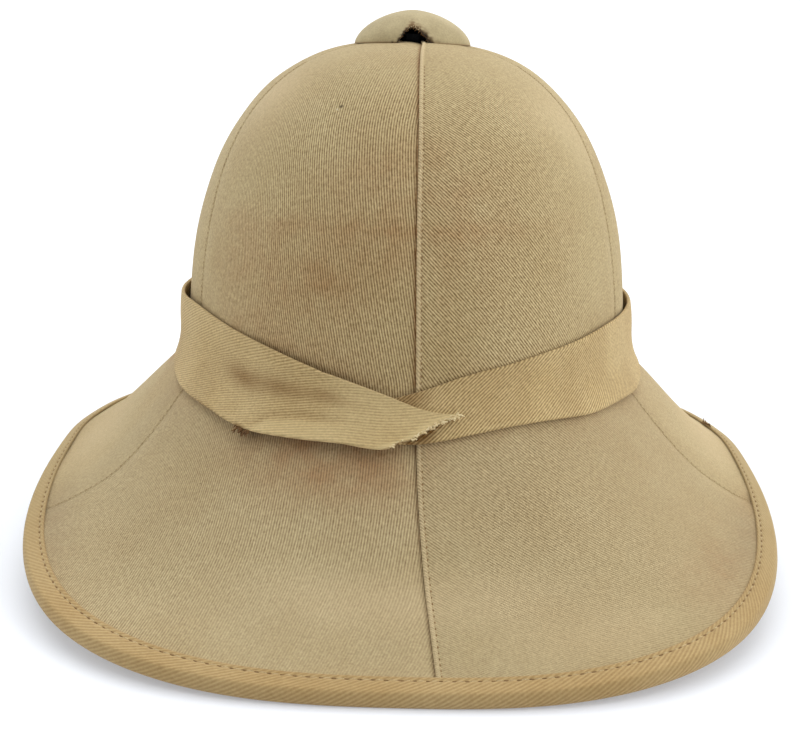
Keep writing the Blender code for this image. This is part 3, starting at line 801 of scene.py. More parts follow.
def fray_tree():
    """Loose threads: a curling strand from each point, roughly along its 'out'."""
    tree, given, output = new_geometry_tree("fraying", (
        ("Longest", "Float"), ("Shortest", "Float"), ("Thread Width", "Float"),
        ("Spread", "Float"), ("Curl", "Float"), ("Seed", "Int"), ("Thread", "Material"),
    ))
    out = add(tree, "GeometryNodeInputNamedAttribute", {"Name": "out"}, data_type="FLOAT_VECTOR")
    spread = add(tree, "FunctionNodeRandomValue", {
        "Min": (-1.0, -1.0, -1.0), "Max": (1.0, 1.0, 1.0), "Seed": given["Seed"],
    }, data_type="FLOAT_VECTOR")
    aside = add(tree, "ShaderNodeVectorMath", {
        "Vector": spread, "Scale": given["Spread"],
    }, operation="SCALE")
    aim = add(tree, "ShaderNodeVectorMath", {"Vector": out, "Vector_001": aside}, operation="ADD")
    turn = add(tree, "FunctionNodeAlignRotationToVector", {"Vector": aim}, axis="Z")
    length = add(tree, "FunctionNodeRandomValue", {
        "Min_001": given["Shortest"], "Max_001": given["Longest"], "Seed": given["Seed"],
    }, data_type="FLOAT")
    strand = add(tree, "GeometryNodeCurvePrimitiveLine", {"End": (0.0, 0.0, 1.0)})
    jointed = add(tree, "GeometryNodeResampleCurve", {"Curve": strand, "Count": 6})
    placed = add(tree, "GeometryNodeInstanceOnPoints", {
        "Points": given["Geometry"], "Instance": jointed, "Rotation": turn, "Scale": length,
    })
    real = add(tree, "GeometryNodeRealizeInstances", {"Geometry": placed})
    along = add(tree, "GeometryNodeSplineParameter")
    bend = add(tree, "ShaderNodeMath", {
        "Value": along.outputs["Factor"], "Value_001": given["Curl"],
    }, operation="MULTIPLY")
    waves = add(tree, "ShaderNodeTexNoise", {"Scale": 900.0, "Detail": 1.0})   # of about 1.1 mm
    centred = add(tree, "ShaderNodeVectorMath", {
        "Vector": waves.outputs["Color"], "Vector_001": (0.5, 0.5, 0.5),
    }, operation="SUBTRACT")
    offset = add(tree, "ShaderNodeVectorMath", {"Vector": centred, "Scale": bend}, operation="SCALE")
    curled = add(tree, "GeometryNodeSetPosition", {"Geometry": real, "Offset": offset})
    radius = add(tree, "ShaderNodeMath", {
        "Value": given["Thread Width"], "Value_001": 0.5,
    }, operation="MULTIPLY")
    ring = add(tree, "GeometryNodeCurvePrimitiveCircle", {"Resolution": 5, "Radius": radius})
    tube = add(tree, "GeometryNodeCurveToMesh", {
        "Curve": curled, "Profile Curve": ring, "Fill Caps": True,
    })
    painted = add(tree, "GeometryNodeSetMaterial", {"Geometry": tube, "Material": given["Thread"]})
    tree.links.new(painted.outputs[0], output.inputs[0])
    return tree


def grow(name, tree, points, directions, values, joined=False):
    """Runs a tree on points with named directions, and makes its result a plain mesh."""
    mesh = bpy.data.meshes.new(name + "_line")
    edges = [(i, i + 1) for i in range(len(points) - 1)] if joined else []
    mesh.from_pydata((points * MM).tolist(), edges, [])
    for label, vectors in directions.items():
        attribute = mesh.attributes.new(label, "FLOAT_VECTOR", "POINT")
        attribute.data.foreach_set("vector", np.asarray(vectors, np.float32).ravel())
    guide = bpy.data.objects.new(name + "_line", mesh)
    bpy.context.scene.collection.objects.link(guide)
    modifier = guide.modifiers.new("nodes", "NODES")
    modifier.node_group = tree
    for item in tree.interface.items_tree:
        if item.in_out == "INPUT" and item.name in values:
            modifier[item.identifier] = values[item.name]
    graph = bpy.context.evaluated_depsgraph_get()
    made = bpy.data.meshes.new_from_object(guide.evaluated_get(graph))
    made.name = name
    bpy.data.objects.remove(guide)
    piece = mesh_piece(name, made)
    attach(piece, "root")
    return piece


def sew(name, tree, line, off, kind, finishes, seed):
    """A row of stitches along a line of points on the cloth, evenly spaced to its end."""
    total = line_run(line)[-1]
    spacing = total / round(total / kind["Spacing"]) * 0.9999   # so that the last one fits
    values = {label: size * MM for label, size in kind.items()}
    values.update({
        "Spacing": spacing * MM, "Unevenness": STITCH_UNEVENNESS, "Seed": seed,
        "Thread": finishes[0], "Hole": finishes[1],
    })
    return grow(name, tree, line, {"off": off}, values, joined=True)


def stitch_wave(line, kind):
    """1 at a row's threads and -1 at its needle holes, along its line."""
    run = line_run(line)
    return np.cos(2 * math.pi * round(run[-1] / kind["Spacing"]) * run / run[-1])


def fray(name, tree, points, out, finish, seed, longest, shortest=0.5, width=0.22, spread=0.6, curl=0.9):
    """Loose threads that start at points, roughly along the out directions."""
    return grow(name, tree, points, {"out": out}, {
        "Longest": longest * MM, "Shortest": shortest * MM, "Thread Width": width * MM,
        "Spread": spread, "Curl": curl * MM, "Seed": seed, "Thread": finish,
    })


# --- Gores -----------------------------------------------------------------------------

EDGE_STEPS = np.array([0.0, 0.12, 0.3, 0.55, 0.85, 1.15, 1.5, 1.85, 2.3, 3.0, 4.2, 6.0, 8.5])
MIDDLE_COLUMNS = 44
CENTRE_BACK = (0, 6)         # the centre back's seam, as the first gore's and as the last one's
PUCKER_FINENESS = 2.6        # more rows, for the puckers between the centre back's stitches
PUCKER_HEIGHT = 0.1          # how high the fold bulges between two stitches
SEAM_REACH = 9.0             # how far in from a seam its relief fades
DRILL_LOFT = 0.45            # how far the glued drill's face stands over the skin, about
DRILL_SWELL = (0.25, 46.0)   # and how much that varies, over about how long a way
THINNEST = 0.45              # of a folded or lapped edge
BRIM_DUST = 0.04             # soil over the whole brim
BEHIND_BAND = -3.0           # the dirt and painted shade by the band's edges go on so far behind it


def seam_azimuth(number, place):
    """Seams 0 and 6 are the centre back; the others follow round by the right."""
    if number in CENTRE_BACK:
        return follow(SEAM_TRACK, 1, place) + (360.0 if number else 0.0)
    if number == 1:
        return follow(SEAM_TRACK, 3, place)
    if number == 5:
        return 360.0 + follow(SEAM_TRACK, 2, place)
    fixed = {2: FRONT_SIDE_SEAM, 3: 180.0, 4: 360.0 - FRONT_SIDE_SEAM}[number]
    return np.full_like(np.asarray(place, float), fixed)


def gore_places(fineness=1.0):
    """The rows of a gore, from under the cap to the brim's edge."""
    top = place_at_radius(COVER_TOP_RADIUS)
    stretches = (
        # from, to, rows
        (top, 0.1, 10), (0.1, 0.97, 92), (0.97, 1.12, 14), (1.12, 1.9, 52), (1.9, 2.0, 10),
    )
    rows = [
        np.linspace(start, end, round(count * fineness), endpoint=False)
        for start, end, count in stretches
    ]
    return np.append(np.concatenate(rows), 2.0)


def gore_columns(number, places, left_on_top, right_on_top):
    """Azimuths of a gore's grid and the distance of each point from its left seam."""
    first, last = seam_azimuth(number, places), seam_azimuth(number + 1, places)
    azimuths, distances, widths = [], [], []
    for place, start, end in zip(places, first, last):
        turns = np.linspace(start - 14.0, end + 14.0, 180)   # to well past both seams
        run = line_run(skin(turns, place))
        run -= np.interp(start, turns, run)
        width = np.interp(end, turns, run)
        edge = EDGE_STEPS * min(1.0, 0.42 * width / EDGE_STEPS[-1])   # closer where it is narrow
        middle = np.linspace(edge[-1], width - edge[-1], MIDDLE_COLUMNS + 2)[1:-1]
        lap = np.array([UNDERLAP, UNDERLAP / 2, UNDERLAP / 6]) * min(1.0, width / 40.0)
        left = edge if left_on_top else np.concatenate([-lap, edge])
        right = width - edge[::-1]
        if not right_on_top:
            right = np.concatenate([right, width + lap[::-1]])
        along = np.concatenate([left, middle, right])
        azimuths.append(np.interp(along, run, turns))
        distances.append(along)
        widths.append(width)
    return np.array(azimuths), np.array(distances), np.array(widths)


def lay_flat(distances, widths, run, places, fan):
    """The gore's grid opened out flat: mm across from its centre line and down it."""
    spread = 0.5 + (fan - 0.5) * smooth((places - 0.9) / 0.3)
    bend = np.gradient(widths, run) / widths * spread
    bend = np.where(np.abs(bend) < 1e-5, 1e-5, bend)[:, None]
    offset = distances - widths[:, None] / 2
    turn = bend * offset
    return np.sin(turn) / bend, run[:, None] - (1 - np.cos(turn)) / bend


def wale_map(x, y, run, places, angles):
    """Flat places to the weave's map: across the wales and along them."""
    angle = np.radians(np.interp(places, WALE_PLACES, angles))
    mean = math.radians(sum(angles) / 3)
    slide = np.concatenate([[0.0], np.cumsum(np.diff(run) * np.tan(angle[1:]))]) * math.cos(mean)
    across = x * math.cos(mean) - np.interp(y, run, slide)
    return np.stack([across, x * math.sin(mean) + y * math.cos(mean)], -1)


def soil_and_shade_on(azimuths, places):
    """Where the drill is dirty, or bleached if below 0: patches, and by the band dirt and painted shade,
    with a painted shadow line along its lower edge.
    """
    soil_and_shade = BRIM_DUST * smooth((places - 1.0) / 0.15)
    for azimuth, place, half_turn, half_run, amount in PATCHES:
        soil_and_shade += amount * falloff(turned(azimuths, azimuth), half_turn) * falloff(places - place, half_run)
    turns = np.where(azimuths > 364.0, azimuths - 360.0, azimuths)
    rise = skin(turns, places)[..., 2] - crown_point(turns, 1.0)[..., 2]
    over = rise - follow(BAND_TRACK, 1, turns)
    below = follow(BAND_TRACK, 2, turns) - rise
    # Dirt and painted shade: more of it on the left, and most under the lapped end, with a painted shadow
    # line at its edge
    left, lapped = smooth((azimuths - 300.0) / 30.0), smooth((azimuths - 332.0) / 8.0)
    soil_and_shade += (0.07 + 0.12 * left) * np.exp(-np.maximum(over, 0.0) / 9.0) * (over > BEHIND_BAND)
    dirt_and_shade = (0.08 + 0.05 * lapped) * np.exp(-np.maximum(below, 0.0) / 7.0)
    line = 0.08 + 0.04 * lapped + 0.12 * falloff(azimuths - 343.0, 8.0)
    soil_and_shade += (dirt_and_shade + line * np.exp(-np.maximum(below, 0.0) / 2.2)) * (below > BEHIND_BAND)
    return soil_and_shade


def gore_relief(sides, height, wave):
    """The gore's face and back over the skin: folded on top at a seam, or lapped under."""
    back = np.full_like(height, -CLOTH)
    for _, seam, on_top, distance, _ in sides:
        share = 1.0 if seam in CENTRE_BACK else SIDE_SEAM_SHARE
        if on_top:
            height = np.maximum(height, 0.0) * smooth(distance / SEAM_REACH)
            height = height + straight(SEAM_RELIEF, distance) * share
            back = np.maximum(back, -straight(FOLD_UNDERSIDE, distance))
            if seam == 0:
                height = height + PUCKER_HEIGHT * wave[:, None] * falloff(distance - 0.7, 0.6)
        else:
            height = height * smooth((distance + 1.0) / SEAM_REACH)
            height = height - straight(UNDERLAP_DEPTH, distance) * share
    return height, np.minimum(back, height - THINNEST)


def gore_marks(number, sides, azimuths, places, wave):
    """Where the gore is dirty, rubbed pale, greyed by dust, or too felted to show its weave; with painted
    shade in the seams' grooves and a painted highlight on their folds.
    """
    dirt = soil_and_shade_on(azimuths, places)
    soil_and_shade, wear_and_light = np.maximum(dirt, 0.0), np.maximum(-dirt, 0.0)
    for _, seam, on_top, distance, _ in sides:
        strength = np.where(places[:, :1] < 1.0, 1.1, 0.5) if seam in CENTRE_BACK else 0.06
        if seam == 0:
            strength = strength * (1.0 + 0.35 * wave[:, None])
        # A fold on top is rubbed pale and painted lighter as a highlight; the groove beside a lapped edge
        # is dirty and painted darker as shade
        if on_top:
            wear_and_light += 0.34 * strength * falloff(distance - 0.7, 0.8)
        else:
            soil_and_shade += 0.45 * strength * falloff(np.maximum(distance, 0.0), 0.9)
    turn = from_back(azimuths)
    brim = smooth((places - 1.0) / 0.15)
    rim = smooth((places - 1.3) / 0.6)
    crisp = float(number == 5)   # the weave shows best on the back's left half
    faint = 0.25 * brim + rim * (0.7 - 0.6 * crisp * smooth((turn - 14.0) / 22.0))
    faint += 0.8 * smooth((0.45 - places) / 0.2)
    faint += 0.5 * smooth((turn - 24.0) / 26.0) * (1.0 - 0.8 * crisp * brim)
    grey = 0.36 * brim * (1.0 - 0.6 * smooth((turn - 60.0) / 10.0))
    grey += 0.4 * falloff(turn - 57.0, 10.0) * falloff(places - 1.87, 0.12)
    amounts = {"soil_and_shade": soil_and_shade, "wear_and_light": wear_and_light + 0.08 * brim, "faint": faint, "grey": grey}
    return {label: np.clip(amount, 0, 1) for label, amount in amounts.items()}


def make_gore(number, finish):
    """A gore of drill, its flat size and area, and the lines of its stitches."""
    name, left_on_top, right_on_top, fan, *angles = GORES[number]
    rows = gore_places(PUCKER_FINENESS if number == 0 else 1.0)
    azimuths, distances, widths = gore_columns(number, rows, left_on_top, right_on_top)
    places = np.repeat(rows[:, None], azimuths.shape[1], 1)
    base, normal = skin(azimuths, places), skin_normal(azimuths, places)
    sewn = (rows > SEWN_PLACES[0]) & (rows < SEWN_PLACES[1])
    wave = np.zeros(len(rows))
    if number == 0:
        wave[sewn] = stitch_wave(base[sewn, stitch_column(0)], SEAM_SEWING)
    sides = (
        # name, seam, whether it lies on top, distance in from the seam, columns' way in
        ("left", number, left_on_top, distances, 1),
        ("right", number + 1, right_on_top, widths[:, None] - distances, -1),
    )
    swell, length = DRILL_SWELL
    height, back = gore_relief(sides, DRILL_LOFT + swell * ripple(base, length, seed=7), wave)
    outer, inner = base + normal * height[..., None], base + normal * back[..., None]
    run = line_run(base[:, azimuths.shape[1] // 2])
    x, y = lay_flat(distances, widths, run, rows, fan)
    marks = gore_marks(number, sides, azimuths, places, wave)
    weave = wale_map(x, y, run, rows, angles)
    piece = wall("drill_" + name, outer, inner, [finish], False, weave, marks)
    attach(piece, "root")
    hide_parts("cover_" + name)
    cut = (float(np.ptp(x)) * MM, float(np.ptp(y)) * MM)
    area = float(np.sum((widths[1:] + widths[:-1]) / 2 * np.diff(run))) * MM ** 2
    stitch_rows = []
    for side, seam, on_top, _, step in sides:
        if on_top:
            column = step * stitch_column(seam) + (0 if step > 0 else -1)
            stitch_rows.append((side, outer[sewn, column], normal[sewn, column]))
    return piece, cut, min(area, cut[0] * cut[1]), stitch_rows


def stitch_column(seam):
    """The grid column under a seam's stitches, counted in from its fold."""
    inset = STITCH_INSETS[0 if seam in CENTRE_BACK else 1]
    return int(np.argmin(np.abs(EDGE_STEPS - inset)))


# --- Body ------------------------------------------------------------------------------

def make_body(cork, lining):
    """The moulded body, cork faced inside with plain cotton."""
    places = np.concatenate([[place_at_radius(VENT_HOLE_RADIUS)], gore_places()[1:]])[::3]
    places[-1] = 2.0
    azimuths, rows = np.meshgrid(np.arange(0.0, 360.0, 1.5), places)
    depth = CLOTH + GAP
    outer = above(azimuths, rows, np.full_like(rows, -depth))
    inner = above(azimuths, rows, -depth - cork_wall(rows))
    piece = wall("moulded_body", outer, inner, [cork, lining], True)
    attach(piece, "root")
    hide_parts("body_shell")


# --- Binding ---------------------------------------------------------------------------

BINDING_WIDTHS = (BINDING_TOP_WIDTH, BINDING_UNDER_WIDTH)
BINDING_COLUMNS = 1250
BINDING_TEAR = (102.6, 105.8)   # a dark tuft on the inner edge, between these azimuths
BINDING_WALES = 30.0         # the wales' angle to the strip
BINDING_PUCKERS = (0.17, 0.1)   # how high the cloth bulges between stitches, above and below
BINDING_PUCKER_WIDTH = 1.3
BINDING_STITCH_HEIGHT = 0.98
BINDING_SECTION = (
    # distance in from the edge, height above the skin
    (9.6, 0.62), (9.5, 0.88), (9.2, 1.1), (8.6, 1.2), (8.0, 1.16), (7.2, 0.96), (6.6, 1.2),
    (6.0, 1.38), (4.6, 1.46), (3.2, 1.44), (1.8, 1.38), (0.6, 1.3),
)
TABLE_CLEARANCE = (0.02, 0.6)   # least heights of the strip's outer and inner faces


def binding_grid(turns):
    """The folded strip's two faces, the lines of its stitches, and the way out there."""
    edge, normal = skin(turns, 2.0), skin_normal(turns, 2.0)
    spring, narrow = (follow(BINDING_SPRING, column, from_back(turns)) for column in (1, 2))
    out = edge - skin(turns, place_from_edge(turns, BINDING_TOP_WIDTH))
    out = unit(out - normal * np.sum(out * normal, -1, keepdims=True))
    depth = CLOTH + GAP + CORK_EDGE
    outside = GAP + BINDING_WALL
    level = np.zeros_like(turns)

    def over(distance, height):
        """A line on top, sprung up towards the strip's inner edge."""
        free = smooth((distance - 2.0) / (BINDING_TOP_WIDTH - 2.0))
        return above(turns, place_from_edge(turns, distance * narrow), height + spring * free)

    def below(distance, height):
        """A line underneath."""
        place = place_from_edge(turns, distance)
        return above(turns, place, -CLOTH - GAP - cork_wall(place) - height)

    def nose(angle, inset):
        """A line round the edge, from over it to under it."""
        swing = math.radians(angle)
        reach, half = outside + BINDING_NOSE - inset, depth / 2 + outside - inset
        return edge + out * (reach * math.cos(swing)) + normal * (half * math.sin(swing) - depth / 2)

    outer, inner, lines = [], [], []
    for place_at, width, pucker in zip((over, below), BINDING_WIDTHS, BINDING_PUCKERS):
        stitched = width - BINDING_STITCH_INSET
        lines.append(place_at(stitched, BINDING_STITCH_HEIGHT + level))
        wave = stitch_wave(lines[-1], BINDING_SEWING)
        faces = []
        for distance, height in BINDING_SECTION:
            distance = distance * width / BINDING_TOP_WIDTH
            puckered = height + pucker * falloff(distance - stitched, BINDING_PUCKER_WIDTH) * wave
            faces.append((place_at(distance, puckered), place_at(distance, GAP + level)))
        if place_at is below:
            swings = np.linspace(-72.0, 72.0, 9)
            faces += [(nose(angle, 0.0), nose(angle, BINDING_WALL)) for angle in swings]
            faces.reverse()
        outer += [face for face, _ in faces]
        inner += [face for _, face in faces]
    outer, inner = np.array(outer), np.array(inner)
    for face, least in zip((outer, inner), TABLE_CLEARANCE):
        face[..., 2] = np.maximum(face[..., 2], least)
    return outer, inner, [(lines[0], normal), (lines[1], -normal)], out


def make_binding(finish, frays, rot_and_shadow):
    """The bias strip folded round the brim's edge and stitched through."""
    turns = np.arange(BINDING_COLUMNS) * 360.0 / BINDING_COLUMNS
    outer, inner, stitch_rows, out = binding_grid(turns)
    edge, normal = skin(turns, 2.0), stitch_rows[0][1]
    run, across = line_run(np.append(edge, edge[:1], 0)), line_run(outer[:, 0])
    angle = math.radians(BINDING_WALES)
    along = np.broadcast_to(run, (len(across), len(run)))
    down = np.broadcast_to(across[:, None], along.shape)
    weave = np.stack([
        along * math.sin(angle) + down * math.cos(angle),
        along * math.cos(angle) - down * math.sin(angle),
    ], -1)
    faint = 0.6 * smooth((from_back(turns) - 30.0) / 35.0)
    bleached = 0.6 * smooth((from_back(turns) - 36.0) / 40.0)
    share = np.linspace(0.0, 1.0, len(outer))[:, None]   # from its inner edge on top, round and under
    # painted shade: a shadow line along the strip's inner edge on top, and darker towards its underside,
    # which faces the table
    soil_and_shade = 0.35 * falloff(share, 0.06) + 0.12 * smooth((share - 0.72) / 0.2)
    marks = {
        label: amount + np.zeros(outer.shape[:2])
        for label, amount in (("soil_and_shade", soil_and_shade), ("faint", faint), ("wear_and_light", bleached))
    }
    piece = wall("bound_edge", outer, inner, [finish], True, weave, marks)
    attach(piece, "root")
    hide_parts("brim_binding")
    torn = np.searchsorted(turns, np.linspace(*BINDING_TEAR, 14))
    tuft = fray(
        "binding_tuft", frays, outer[3, torn], unit(normal[torn] - out[torn]), rot_and_shadow,
        seed=61, longest=2.4, shortest=0.8, width=0.4, spread=0.6,
    )
    return piece, (float(across[-1]) * MM, float(run[-1]) * MM), stitch_rows, tuft


# --- Band ------------------------------------------------------------------------------

BAND_THICKNESS = 1.6
BAND_CLOTH = 0.7             # one layer of the folded strip
BAND_WIDTH = 38.0            # about; its folds bulge beyond its edges by a share of it
BAND_WALES = (
    # azimuth, the wales' angle to the strip, which was twisted as it was wound on
    (-8, 33.0), (60, 33.0), (180, 30.0), (270, 26.0), (300, 25.0), (318, 28.0), (332, 23.0),
    (344, 18.5), (352, 13.0), (358, 9.0), (372, 7.0),
)
BAND_ENDS = (-6.0, 357.4)
BAND_END = (
    # share of the width from the upper edge, how far round the frayed end lies there
    (0.0, 12.0), (0.12, 11.9), (0.17, 11.1), (0.29, 10.0), (0.53, 7.7), (0.78, 5.6), (0.90, 2.6),
    (1.0, -0.9),
)
BAND_END_FADE = 24.0         # the slant of the end begins so many degrees before it
BAND_TEETH = ((9.0, 0.6), (21.0, 0.28), (5.0, 0.3))   # notches in the width, their depth
BAND_LIFT_ARC = (312.0, 348.0)   # the strip rises over its own end between these
BAND_NICK = (329.5, 332.9)   # the lower edge is frayed between these azimuths
BAND_STAND = (
    # azimuth, how far the strip stands off the skin at its upper edge, middle, lower edge
    (-6, 0.7, 1.1, 0.7), (30, 0.7, 1.4, 0.9), (68, 1.2, 2.2, 1.1), (84, 2.4, 3.2, 1.2),
    (104, 2.2, 3.0, 1.2), (180, 0.8, 1.5, 0.8), (262, 1.2, 2.0, 0.8), (278, 2.4, 2.6, 0.6),
    (290, 2.7, 2.4, 0.6), (300, 1.7, 1.7, 0.9), (314, 0.8, 1.2, 1.4), (335, 0.7, 0.9, 1.9),
    (352, 0.7, 1.1, 2.2), (372, 0.8, 1.3, 2.2),
)
BAND_CREASE = (
    # azimuth, share of the width where the crease above the pulled-down edge lies
    (328, 1.02), (332, 0.97), (336, 0.78), (341, 0.70), (350, 0.66), (358, 0.60), (372, 0.55),
)
BAND_CREASE_ARC = (330.0, 344.0)
BAND_CREASE_DEPTH = 0.6
BAND_SOIL_AND_SHADE_PATCHES = (
    # azimuth, share of the width, half widths round and across, and soil with painted shade: a dent's
    # shadow on the lapped end and shade under and beside its cut end
    (327.0, 0.46, 5.0, 0.12, 0.62), (337.0, 0.4, 6.0, 0.12, 0.54), (347.0, 0.34, 4.5, 0.1, 0.4),
    (1.0, 0.1, 4.0, 0.3, 0.6), (3.5, 0.9, 2.2, 0.2, 0.7), (330.4, 1.0, 1.4, 0.04, 0.8),
    (318.0, 1.0, 6.0, 0.03, 0.5),
)
BAND_CUT_SHADOW = (
    # share of the width, how far round: a painted shadow line on the right end, beneath the cut
    (0.60, 11.0), (0.69, 8.0), (0.75, 5.7), (0.87, 3.6), (1.0, 0.6),
)
BAND_FACE = (0.03, 0.97)     # the face between the folds, in shares of the width
BAND_FLAP_EDGES = (0.44, 0.56)   # the folded-in edges end here behind the face


def band_section():
    """The strip's path: shares across the face, heights of its outer and inner sides.

    It starts at the upper flap's edge behind the face, goes up over the upper fold, down
    the face, round the lower fold and up to the lower flap's edge. The face's part of the
    path comes with it.
    """
    half = BAND_THICKNESS / 2
    (top, bottom), (upper_edge, lower_edge) = BAND_FACE, BAND_FLAP_EDGES
    fold = []
    for swing in np.radians(np.linspace(-60.0, 60.0, 5)):
        bulge, rise = math.cos(swing) * half / BAND_WIDTH, math.sin(swing)
        fold.append((bulge, half + half * rise, half + (half - BAND_CLOTH) * rise))
    path = [(share, 0.0, BAND_CLOTH) for share in np.linspace(upper_edge, top, 7)]
    path += [(top - bulge, outer, inner) for bulge, outer, inner in fold]
    first = len(path)
    path += [
        (share, BAND_THICKNESS, BAND_THICKNESS - BAND_CLOTH) for share in np.linspace(top, bottom, 47)
    ]
    face = slice(first, len(path))
    path += [(bottom + bulge, outer, inner) for bulge, outer, inner in reversed(fold)]
    path += [(share, 0.0, BAND_CLOTH) for share in np.linspace(bottom, lower_edge, 7)]
    return path, face


def make_band(finish, frays, yarns):
    """The folded strip round the crown's foot, its left end lapped over its right."""
    start, end = BAND_ENDS
    turns = np.concatenate([np.arange(start, 330.0, 1.2), np.linspace(330.0, end, 60)])
    path, face = band_section()
    share, high, low = (np.array(column)[:, None] for column in zip(*path))
    near_end = smooth(1.0 - (end - turns) / BAND_END_FADE)
    ragged = sum(
        depth * (2.0 * np.abs((share * count + 0.37 * count) % 1.0 * 2.0 - 1.0) - 1.0)
        for count, depth in BAND_TEETH
    )
    here = turns + near_end * straight(BAND_END, share) + near_end ** 12 * ragged
    upper, lower = (place_of_rise(here, follow(BAND_TRACK, column, here)) for column in (1, 2))
    place, stand = even_places(here, upper, lower, share), band_stand(here, turns, share)
    outer, inner = above(here, place, stand + high), above(here, place, stand + low)
    weave, length = band_weave(here, share)
    marks = band_marks(here, share, near_end, outer)
    piece = wall("folded_band", outer, inner, [finish], False, weave, marks)
    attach(piece, "root")
    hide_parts("pagri_band")
    around = np.sum(np.linalg.norm(np.diff(outer, axis=0), axis=-1), axis=0)
    cut = (float(np.median(around)) * MM, length * MM)
    return piece, cut, band_frays(frays, yarns, here, outer, inner, face)


def band_marks(here, share, near_end, outer):
    """Where the band is dirty and painted shaded, rubbed pale and painted lighter, or too felted to show
    its weave.
    """
    soil_and_shade = 0.12 * smooth(ripple(outer, wavelength=38.0, seed=3))
    for azimuth, spot, half_turn, half_share, amount in BAND_SOIL_AND_SHADE_PATCHES:
        soil_and_shade = soil_and_shade + amount * falloff(here - azimuth, half_turn) * falloff(share - spot, half_share)
    # the cut end's painted shadow on the right end below it
    beneath = falloff(here - straight(BAND_CUT_SHADOW, share), 0.6) * (here < 20.0)
    soil_and_shade = soil_and_shade + 0.8 * beneath * smooth((share - 0.6) / 0.05)
    creased, past = band_crease(here, share)
    # painted shade just above the crease, and the strip painted lighter below it, where it turns up to the
    # light
    soil_and_shade = soil_and_shade + creased * 0.14 * falloff(past + 0.03, 0.06)
    wear_and_light = 0.34 * creased * smooth(past / 0.1) + 0.5 * smooth((near_end - 0.97) / 0.03)
    wear_and_light = wear_and_light + 0.16 * smooth((here - 346.0) / 8.0)
    faint = 0.55 * smooth((here - 270.0) / 10.0) * smooth((345.0 - here) / 12.0)
    faint = faint + 0.75 * smooth((here - 336.0) / 14.0)
    return {"soil_and_shade": np.clip(soil_and_shade, 0, 1), "wear_and_light": wear_and_light, "faint": np.clip(faint, 0, 1)}


def band_frays(frays, yarns, here, outer, inner, face):
    """The yarns at the cut end, dark plies behind them as painted shadow under the cut, and those of the
    nick below.
    """
    loose, rot_and_shadow = yarns
    onward = unit(outer[face, -1] - outer[face, -3])
    ends = np.concatenate([outer[face, -1], (outer[face, -1] + inner[face, -1]) / 2])
    middle, fold = (face.start + face.stop) // 2, face.stop + 2
    nick = np.linspace(*BAND_NICK, 22)
    below = along_row(outer[fold], here[fold], nick)
    down = unit(below - along_row(outer[fold - 8], here[fold - 8], nick))
    return [
        fray(
            "band_end_yarns", frays, ends, np.concatenate([onward, onward]), loose,
            seed=41, longest=1.7, width=0.56, spread=0.8, curl=1.4,
        ),
        fray(
            "band_end_plies", frays, inner[middle:face.stop, -1], onward[middle - face.start:], rot_and_shadow,
            seed=42, longest=1.4, width=0.36,
        ),
        fray(
            "band_nick_yarns", frays, below, down, rot_and_shadow,
            seed=43, longest=3.2, shortest=1.0, width=0.45, spread=0.5,
        ),
    ]


def along_row(points, here, wanted):
    """Points of a row at wanted azimuths."""
    return np.stack([np.interp(wanted, here, points[:, axis]) for axis in range(3)], -1)


def band_stand(here, turns, share):
    """How far the strip stands off the skin: over its own end, and bridging hollows."""
    upper, middle, lower = (follow(BAND_STAND, column, here) for column in (1, 2, 3))
    across = np.clip(share, 0.0, 1.0)
    bow = 4.0 * (middle - (upper + lower) / 2)
    stand = upper + (lower - upper) * across + bow * across * (1.0 - across)
    lift = smooth((turns - BAND_LIFT_ARC[0]) / (BAND_LIFT_ARC[1] - BAND_LIFT_ARC[0]))
    creased, past = band_crease(here, share)
    return stand + lift * (BAND_THICKNESS + 2 * GAP) - BAND_CREASE_DEPTH * creased * falloff(past, 0.06)


def band_crease(here, share):
    """How strongly the band is creased there, and how far a point lies below the crease."""
    first, last = BAND_CREASE_ARC
    creased = smooth((here - first) / 5.0) * (1.0 - smooth((here - last) / 10.0))
    return creased, share - straight(BAND_CREASE, here)


def band_weave(here, share):
    """The band's map of its weave, and the strip's flat width and length in metres."""
    turns = np.arange(BAND_TRACK[0][0] - 2.0, BAND_TRACK[-1][0] + 3.0)
    upper, lower = (place_of_rise(turns, follow(BAND_TRACK, column, turns)) for column in (1, 2))
    line, first, last = (skin(turns, even_places(turns, upper, lower, at)) for at in (0.5, 0.2, 0.8))
    across = unit(last - first)
    width = np.linalg.norm(last - first, axis=-1) / 0.6
    skew = np.sum(unit(np.gradient(line, axis=0)) * across, -1)
    run = line_run(line)
    slant = np.radians(straight(BAND_WALES, turns))
    usual = math.radians(BAND_WALES[0][1])
    slide = np.concatenate([[0.0], np.cumsum(np.diff(run) * np.tan(slant[1:]))])
    offset = (share - 0.5) * np.interp(here, turns, width)
    bias = np.interp(here, turns, skew)
    along = np.interp(here, turns, run) + offset * bias
    fall = offset * np.sqrt(1.0 - bias ** 2)
    weave = np.stack([
        math.cos(usual) * (fall + np.interp(along, run, slide)),
        along * math.cos(usual) - fall * math.sin(usual),
    ], -1)
    return weave, float(run[-1])


